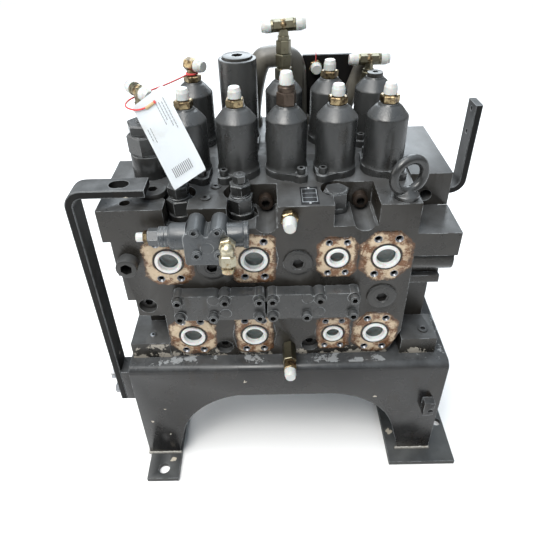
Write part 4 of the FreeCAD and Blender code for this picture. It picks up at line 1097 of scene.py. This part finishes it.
def fittings():
    bm = bmesh.new()
    low = [(capColumns[n], frontRow) for n in (0, 1, 3, 4)] + [(capColumns[3], rearRow)]
    for index, (x, y) in enumerate(low):
        seat = facing(at(x, y, crown), up)
        hexNut(bm, seat, 26, 0, 11.6, 0, 15 + 11 * index, 1.4)
        lathe(bm, seat, [(9.6, 11.4), (9.6, 13.2)], 28, 0)
        screwCap(bm, facing(at(x, y, crown + 13), up))
    seat = facing(at(capColumns[2], frontRow, crown), up)
    hexNut(bm, seat, 27, 0, 21, 3, 15, 1.6)
    lathe(bm, seat, [(12.6, 20.8), (13, 22), (13, 27.5), (11.6, 29), (11.4, 31)], 36, 3)
    screwCap(bm, facing(at(capColumns[2], frontRow, crown + 31), up), 17.8, 10.5)
    seat = facing(at(capColumns[2], rearRow, crown), up)
    hexNut(bm, seat, 26, 0, 18, 1, 4, 1.5)
    lathe(bm, seat, [(11, 17.5), (11, 21)], 30, 1)
    hexNut(bm, seat, 25, 20.6, 41, 1, 22, 1.4)
    hexNut(bm, seat, 21.5, 41, 62, 1, 10, 1.2)
    teeFitting(bm, at(capColumns[2], rearRow, crown + 84), Vector((1, 0, 0.06)).normalized(), 20, 1)
    teeFitting(bm, at(*cornerPlace, deck + 134), Vector((0.7, -0.72, -0.1)).normalized(), 12, 1)
    hexNut(bm, facing(at(backX, backY, deck), up), 24, 0, 60, 1, 0, 1.4)
    hexNut(bm, facing(at(backX, backY, deck), up), 22, 61, 102, 1, 20, 1.4)
    teeFitting(bm, at(backX, backY, deck + 122), right, 20, 1)
    seat = facing(at(capColumns[0], rearRow, crown), up)
    hexNut(bm, seat, 26, 0, 10, 0, 10, 1.4)
    lathe(bm, seat, [(8, 9.5), (8, 20)], 28, 0)
    elbowAxis = Vector((0.8, -0.6, 0))
    centre = at(capColumns[0], rearRow, crown + 27)
    bmesh.ops.create_icosphere(bm, subdivisions=3, radius=9.6 * mm, matrix=Matrix.Translation(centre))
    hexNut(bm, facing(centre - elbowAxis * 10 * mm, elbowAxis), 19, 0, 22, 0, 10, 1.2)
    screwCap(bm, facing(centre + elbowAxis * 12 * mm, elbowAxis))
    seat = facing(at(highX, 0, highZ), forward)
    hexNut(bm, seat, 24, 0.1, 12.5, 0, 15, 1.4)
    lathe(bm, seat, [(10, 12.4), (10, 14)], 28, 0)
    screwCap(bm, facing(at(highX, -14, highZ), forward), 19.8)
    seat = facing(at(lowX, 0, lowZ), forward)
    hexNut(bm, seat, 21, 0.1, 40, 1, 15, 1.0)
    hexNut(bm, seat, 20, 40.5, 59, 0, 20, 1.2)
    screwCap(bm, facing(at(lowX, -60, lowZ), forward), radius=10.0)
    seat = facing(at(wallX, wallY, wallZ), forward)
    hexNut(bm, seat, 22, 0.1, 10, 0, 15, 1.2)
    screwCap(bm, facing(at(wallX, wallY - 10, wallZ), forward))
    materials = [metals["zinc"], metals["olive"], plastics["clear"], metals["brown"]]
    finishPiece("smallFittings", bm, materials, replaced=["cap_fittings", "protective_caps"])


fittings()
print("fittings made")


# bars, bolts and pipes
barShape = {"width": 40, "thickness": 12.5, "bend": 22, "edge": 1.1}
standLeft, standRight = -232, 302
strapX = standLeft - 28 - barShape["thickness"] / 2
bracketX = standRight + 85 + barShape["thickness"] / 2


def bentBar(points, y0):
    bm = bmesh.new()
    width, thickness, bend, inset = (barShape[key] for key in ("width", "thickness", "bend", "edge"))
    rim = 1 - 2 * inset / thickness
    spots = [Vector((x, 0, z)) for x, z in points]
    before = (spots[0] - spots[1]).normalized()
    after = (spots[2] - spots[1]).normalized()
    path = [(spots[0], -before)]
    centre = spots[1] + (before + after) * bend
    for index in range(13):
        angle = math.pi / 2 * index / 12
        spot = centre - after * bend * math.cos(angle) - before * bend * math.sin(angle)
        path.append((spot, (-before * math.cos(angle) + after * math.sin(angle))))
    path.append((spots[2], after))
    loops = []
    for spot, heading in path:
        side = Vector((heading.z, 0, -heading.x)) * (thickness / 2)
        loop = []
        for across, depth in ((1, inset), (rim, 0), (-rim, 0), (-1, inset),
                              (-1, width - inset), (-rim, width), (rim, width), (1, width - inset)):
            place = spot + side * across
            loop.append(bm.verts.new(at(place.x, y0 + depth, place.z)))
        loops.append(loop)
    for low, high in zip(loops, loops[1:]):
        bridge(bm, low, high)
    bm.faces.new(list(reversed(loops[0])))
    bm.faces.new(loops[-1])
    return bm


def liftStrap():
    x, z = strapX, deck + 33 - barShape["thickness"] / 2
    bm = bentBar([(x, standTop - 116), (x, z), (x + 114, z)], 0)
    strap = finishPiece("liftStrapBar", bm, [paints["strap"]], replaced=["lift_strap"], angle=30)
    cutter = bmesh.new()
    hole = facing(at(x + 74, 20, z - 20), up)
    outline = []
    for index in range(32):
        angle = 2 * math.pi * (index + 0.5) / 32
        outline.append((12 * math.cos(angle) + (3 if math.cos(angle) > 0 else -3), 12 * math.sin(angle)))
    slabInto(cutter, outline, hole, 0, 40, 0)
    cutPiece(strap, cutter)


def cutPiece(piece, cutter):
    mesh = bpy.data.meshes.new("cutter")
    bmesh.ops.recalc_face_normals(cutter, faces=cutter.faces[:])
    cutter.to_mesh(mesh)
    cutter.free()
    tool = bpy.data.objects.new("cutter", mesh)
    show(tool)
    modifier = piece.modifiers.new("cut", "BOOLEAN")
    modifier.object = tool
    modifier.solver = "EXACT"
    bpy.context.view_layer.update()
    baked = bpy.data.meshes.new_from_object(piece.evaluated_get(bpy.context.evaluated_depsgraph_get()))
    piece.modifiers.clear()
    piece.data = baked
    bpy.data.objects.remove(tool)


def rearBracket():
    x, z = bracketX, deck - 100 - barShape["thickness"] / 2
    bm = bentBar([(x, z + 165), (x, z), (standRight + 0.3, z)], rearRow - 14)
    bracket = finishPiece("rearBracketBar", bm, [paints["strap"]],
                          replaced=["rear_bracket"], angle=30)
    cutter = bmesh.new()
    for drop in (12, 54):
        lathe(cutter, facing(at(x - 20, rearRow + 6, z + 165 - drop), right), [(4.5, 0), (4.5, 40)], 24)
    cutPiece(bracket, cutter)


def barBolts():
    bm = bmesh.new()
    x = standLeft - 28 - barShape["thickness"]
    for z, twist in ((160, 12), (201, 40)):
        seat = facing(at(x, 14, z), left)
        lathe(bm, seat, [(10, 0.05), (10, 1.6), (9.6, 2)], 32)
        hexNut(bm, seat, 17, 2, 9.6, 0, twist, 1.0)
        lathe(bm, seat, [(6.6, 9.5), (6.2, 10)], 24)
    for inset in (12, 30):
        socketHead(bm, facing(at(standRight + inset, rearRow + 6, deck - 100), up, 20), 6.5, 10, 6, 0, 28, 0.7)
    finishPiece("barBoltHeads", bm, [metals["dull"], metals["recessShade"]], replaced=["bar_bolts"])


def pipeInto(bm, points, radius):
    data = curveThrough("route", [at(*place) for place in points], radius, 10, 7)
    holder = bpy.data.objects.new("route", data)
    mesh = bpy.data.meshes.new_from_object(holder)
    bm.from_mesh(mesh)
    bpy.data.objects.remove(holder)
    bpy.data.meshes.remove(mesh)


pipeShape = {"arch": 19, "stub": 14, "archY": rearRow + 76, "stubY": rearRow + 86}
panelShape = {"left": 93, "right": 192, "thickness": 6, "top": 119}


def rearPipes():
    bm = bmesh.new()
    wide, thin, y, stubY = (pipeShape[key] for key in ("arch", "stub", "archY", "stubY"))
    arch = [(-8, y, deck), (-2, y, deck + 60), (14, y, deck + 122), (34, y, deck + 126),
            (70, y, deck + 126), (83, y, deck + 96), (82, y, deck)]
    pipeInto(bm, arch, wide)
    pipeInto(bm, [(164, stubY, deck), (173, stubY, deck + 22), (204, stubY, deck + 112)], thin)
    for x, place, radius in ((-8, y, wide), (82, y, wide), (164, stubY, thin)):
        collar = [(radius + 5, 0.1), (radius + 5, 14), (radius + 3.5, 16), (radius + 0.4, 16)]
        lathe(bm, facing(at(x, place, deck), up), collar, 40)
    panel = bmesh.new()
    high = (panelShape["right"], wallY + panelShape["thickness"], deck + panelShape["top"])
    boxInto(panel, (panelShape["left"], wallY, deck + 0.2), high, 1.4)
    finishPiece("rearPanelSheet", panel, [paints["strap"]])
    finishPiece("rearPipeRun", bm, [paints["pipe"]], replaced=["rear_pipes"])
    tie = bmesh.new()
    boxInto(tie, (116.2, wallY - 12, deck + 109), (117.6, wallY - 9, deck + 126), 0.3)
    finishPiece("redTie", tie, [redString])


liftStrap()
rearBracket()
barBolts()
rearPipes()
print("bars and pipes made")


# paper tag, with rules and bars that say nothing
def printRule(bm, a0, a1, b0, b1):  # one flat stroke just off the sheet
    lift = 1.0 + 0.5 * math.sin(math.pi * (b0 + b1) / 2 / tag["length"])
    corners = [onTag(a, b, lift) for a, b in ((a0, b0), (a1, b0), (a1, b1), (a0, b1))]
    bm.faces.new([bm.verts.new(corner) for corner in corners]).material_index = 2


def paperTag():
    bm = bmesh.new()
    width, length = tag["width"], tag["length"]
    across, along = 14, 34
    grid = []
    for j in range(along + 1):
        row = []
        b = length * j / along
        for i in range(across + 1):
            a = width * i / across
            corner = 2.2
            cutA = min(a, width - a)
            cutB = min(b, length - b)
            if cutA < corner and cutB < corner and cutA + cutB < 0.1:
                a += corner * 0.4 if a < width / 2 else -corner * 0.4
            bow = 1.6 * math.sin(math.pi * j / along) * math.cos(math.pi * (i / across - 0.5) * 0.8)
            curl = 3.0 * max(0, j / along - 0.7) ** 2 * (i / across)
            row.append(bm.verts.new(onTag(a, b, -0.4 + 0.35 * bow + 6 * curl)))
        grid.append(row)
    for j in range(along):
        for i in range(across):
            bm.faces.new((grid[j][i], grid[j][i + 1], grid[j + 1][i + 1], grid[j + 1][i]))
    bmesh.ops.solidify(bm, geom=bm.faces[:], thickness=0.35 * mm)
    strip = facing(onTag(tag["loopStart"] - 4, 15, 1.7), tagAcross)
    lathe(bm, strip, [(1.9, 0), (2.3, 0.6), (2.3, 17.4), (1.9, 18)], 20, 1, closeEnds=False)
    lines = ((50, 16, 62), (45.5, 20, 56), (41, 18, 48), (36.5, 18, 52), (11, 42, 66), (6.5, 42, 60))
    for a, start, end in lines:
        for piece in range(start, end, 5):
            printRule(bm, a, a + 1.1, piece, piece + 4.2)
    for bar in range(11):
        printRule(bm, 12 + 3 * bar, 13.4 + 3 * bar, 110, 125)
    materials = [paper, tanPaper, greyInk]
    finishPiece("paperTagSheet", bm, materials, body="paper_tag", replaced=["paper_tag"], angle=50)


paperTag()


# finishes of the machined and cast pieces
mergeGap = 0.00001
notch = {"left": -204, "right": -156, "back": 58.9, "bottom": 35.05, "top": 101}


def softenEdges(piece, bevel):
    weld = piece.modifiers.new("weld", "WELD")
    weld.merge_threshold = mergeGap
    flat = piece.modifiers.new("flat", "DECIMATE")
    flat.decimate_type = "DISSOLVE"
    flat.angle_limit = math.radians(1)
    soft = piece.modifiers.new("soft", "BEVEL")
    soft.width = bevel * mm
    soft.segments = 2
    soft.limit_method = "ANGLE"
    soft.angle_limit = math.radians(40)
    soft.harden_normals = True


def dress(nodeName, material, bevel=1.2, angle=32):
    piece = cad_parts[nodeName]
    piece.data.materials.clear()
    piece.data.materials.append(material)
    piece.data.shade_smooth()
    piece.data.set_sharp_from_angle(angle=math.radians(angle))
    if bevel:
        softenEdges(piece, bevel)


def frontHousing():  # the CAD housing with the open notch above its left foot
    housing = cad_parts["front_housing"]
    bm = bmesh.new()
    bm.from_mesh(housing.data)
    bmesh.ops.transform(bm, matrix=housing.matrix_world, verts=bm.verts[:])
    bmesh.ops.remove_doubles(bm, verts=bm.verts[:], dist=mergeGap)
    piece = finishPiece("frontHousing", bm, [paints["block"]],
                        replaced=["front_housing"], angle=32)
    cutter = bmesh.new()
    low = (notch["left"], -3, standTop + notch["bottom"])
    boxInto(cutter, low, (notch["right"], notch["back"], standTop + notch["top"]), 0)
    cutPiece(piece, cutter)
    piece.data.shade_smooth()
    piece.data.set_sharp_from_angle(angle=math.radians(32))
    softenEdges(piece, 1.0)


frontHousing()
dress("rear_housing", paints["rear"], 1.5)
dress("side_block", paints["rear"], 1.8)
dress("lower_covers", paints["rear"], 1.5)
dress("stand_frame", paints["stand"], 1.2)
dress("stand_feet", paints["foot"], 0.9)
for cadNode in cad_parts:
    if cadNode.startswith(("spool_", "check_poppet")):
        dress(cadNode, metals["spool"], 0)
    if cadNode.startswith(("spring_front", "spring_rear", "poppet_spring")):
        dress(cadNode, metals["spring"], 0)
print("frame pieces dressed")


# floor and light
def makeStage():
    bm = bmesh.new()
    bmesh.ops.create_grid(bm, x_segments=1, y_segments=1, size=9)
    mesh = bpy.data.meshes.new("floor")
    bm.to_mesh(mesh)
    bm.free()
    floor = bpy.data.objects.new("floor", mesh)
    show(floor)
    material, tree, shader, place = newMaterial("paleFloor", Base_Color=(0.90, 0.90, 0.90, 1), Roughness=0.9)
    mesh.materials.append(material)
    world = bpy.data.worlds.new("studio")
    bpy.context.scene.world = world
    world.use_nodes = True
    sky = world.node_tree
    split = sky.nodes.new("ShaderNodeSeparateXYZ")
    link(sky, sky.nodes.new("ShaderNodeTexCoord").outputs["Generated"], split.inputs[0])
    shade = mixColor(sky, ramp(sky, split.outputs[2], 0.1, 0.9), (0.35, 0.335, 0.31), (0.74, 0.89, 1.04))
    link(sky, shade, sky.nodes["Background"].inputs[0])
    sky.nodes["Background"].inputs[1].default_value = 0.62
    sun = bpy.data.lights.new("softSun", "SUN")
    sun.energy = 2.45
    sun.angle = math.radians(50)
    sun.color = (1.0, 0.98, 0.95)
    sunPiece = bpy.data.objects.new("softSun", sun)
    sunPiece.rotation_euler = Vector((0.30, 0.12, -1)).to_track_quat("-Z", "Y").to_euler()
    show(sunPiece)
    lamps = {
        "frontLight": {"place": (-0.5, -1.3, 2.2), "size": 0.9, "power": 31, "color": (1.0, 0.97, 0.92)},
        "backLight": {"place": (0.2, 2.0, 1.8), "size": 1.8, "power": 52, "color": (0.86, 0.94, 1.0)},
        "leftLight": {"place": (-2.0, -0.2, 1.2), "size": 1.2, "power": 12, "color": (1.0, 0.97, 0.93)},
    }
    for name, lamp in lamps.items():
        data = bpy.data.lights.new(name, "AREA")
        data.size = lamp["size"]
        data.energy = lamp["power"]
        data.color = lamp["color"]
        light = bpy.data.objects.new(name, data)
        light.location = lamp["place"]
        aim = Vector((0, 0, 0.4)) - Vector(lamp["place"])
        light.rotation_euler = aim.to_track_quat("-Z", "Y").to_euler()
        show(light)


makeStage()
bpy.context.scene.view_settings.view_transform = "Standard"
print("stage made")
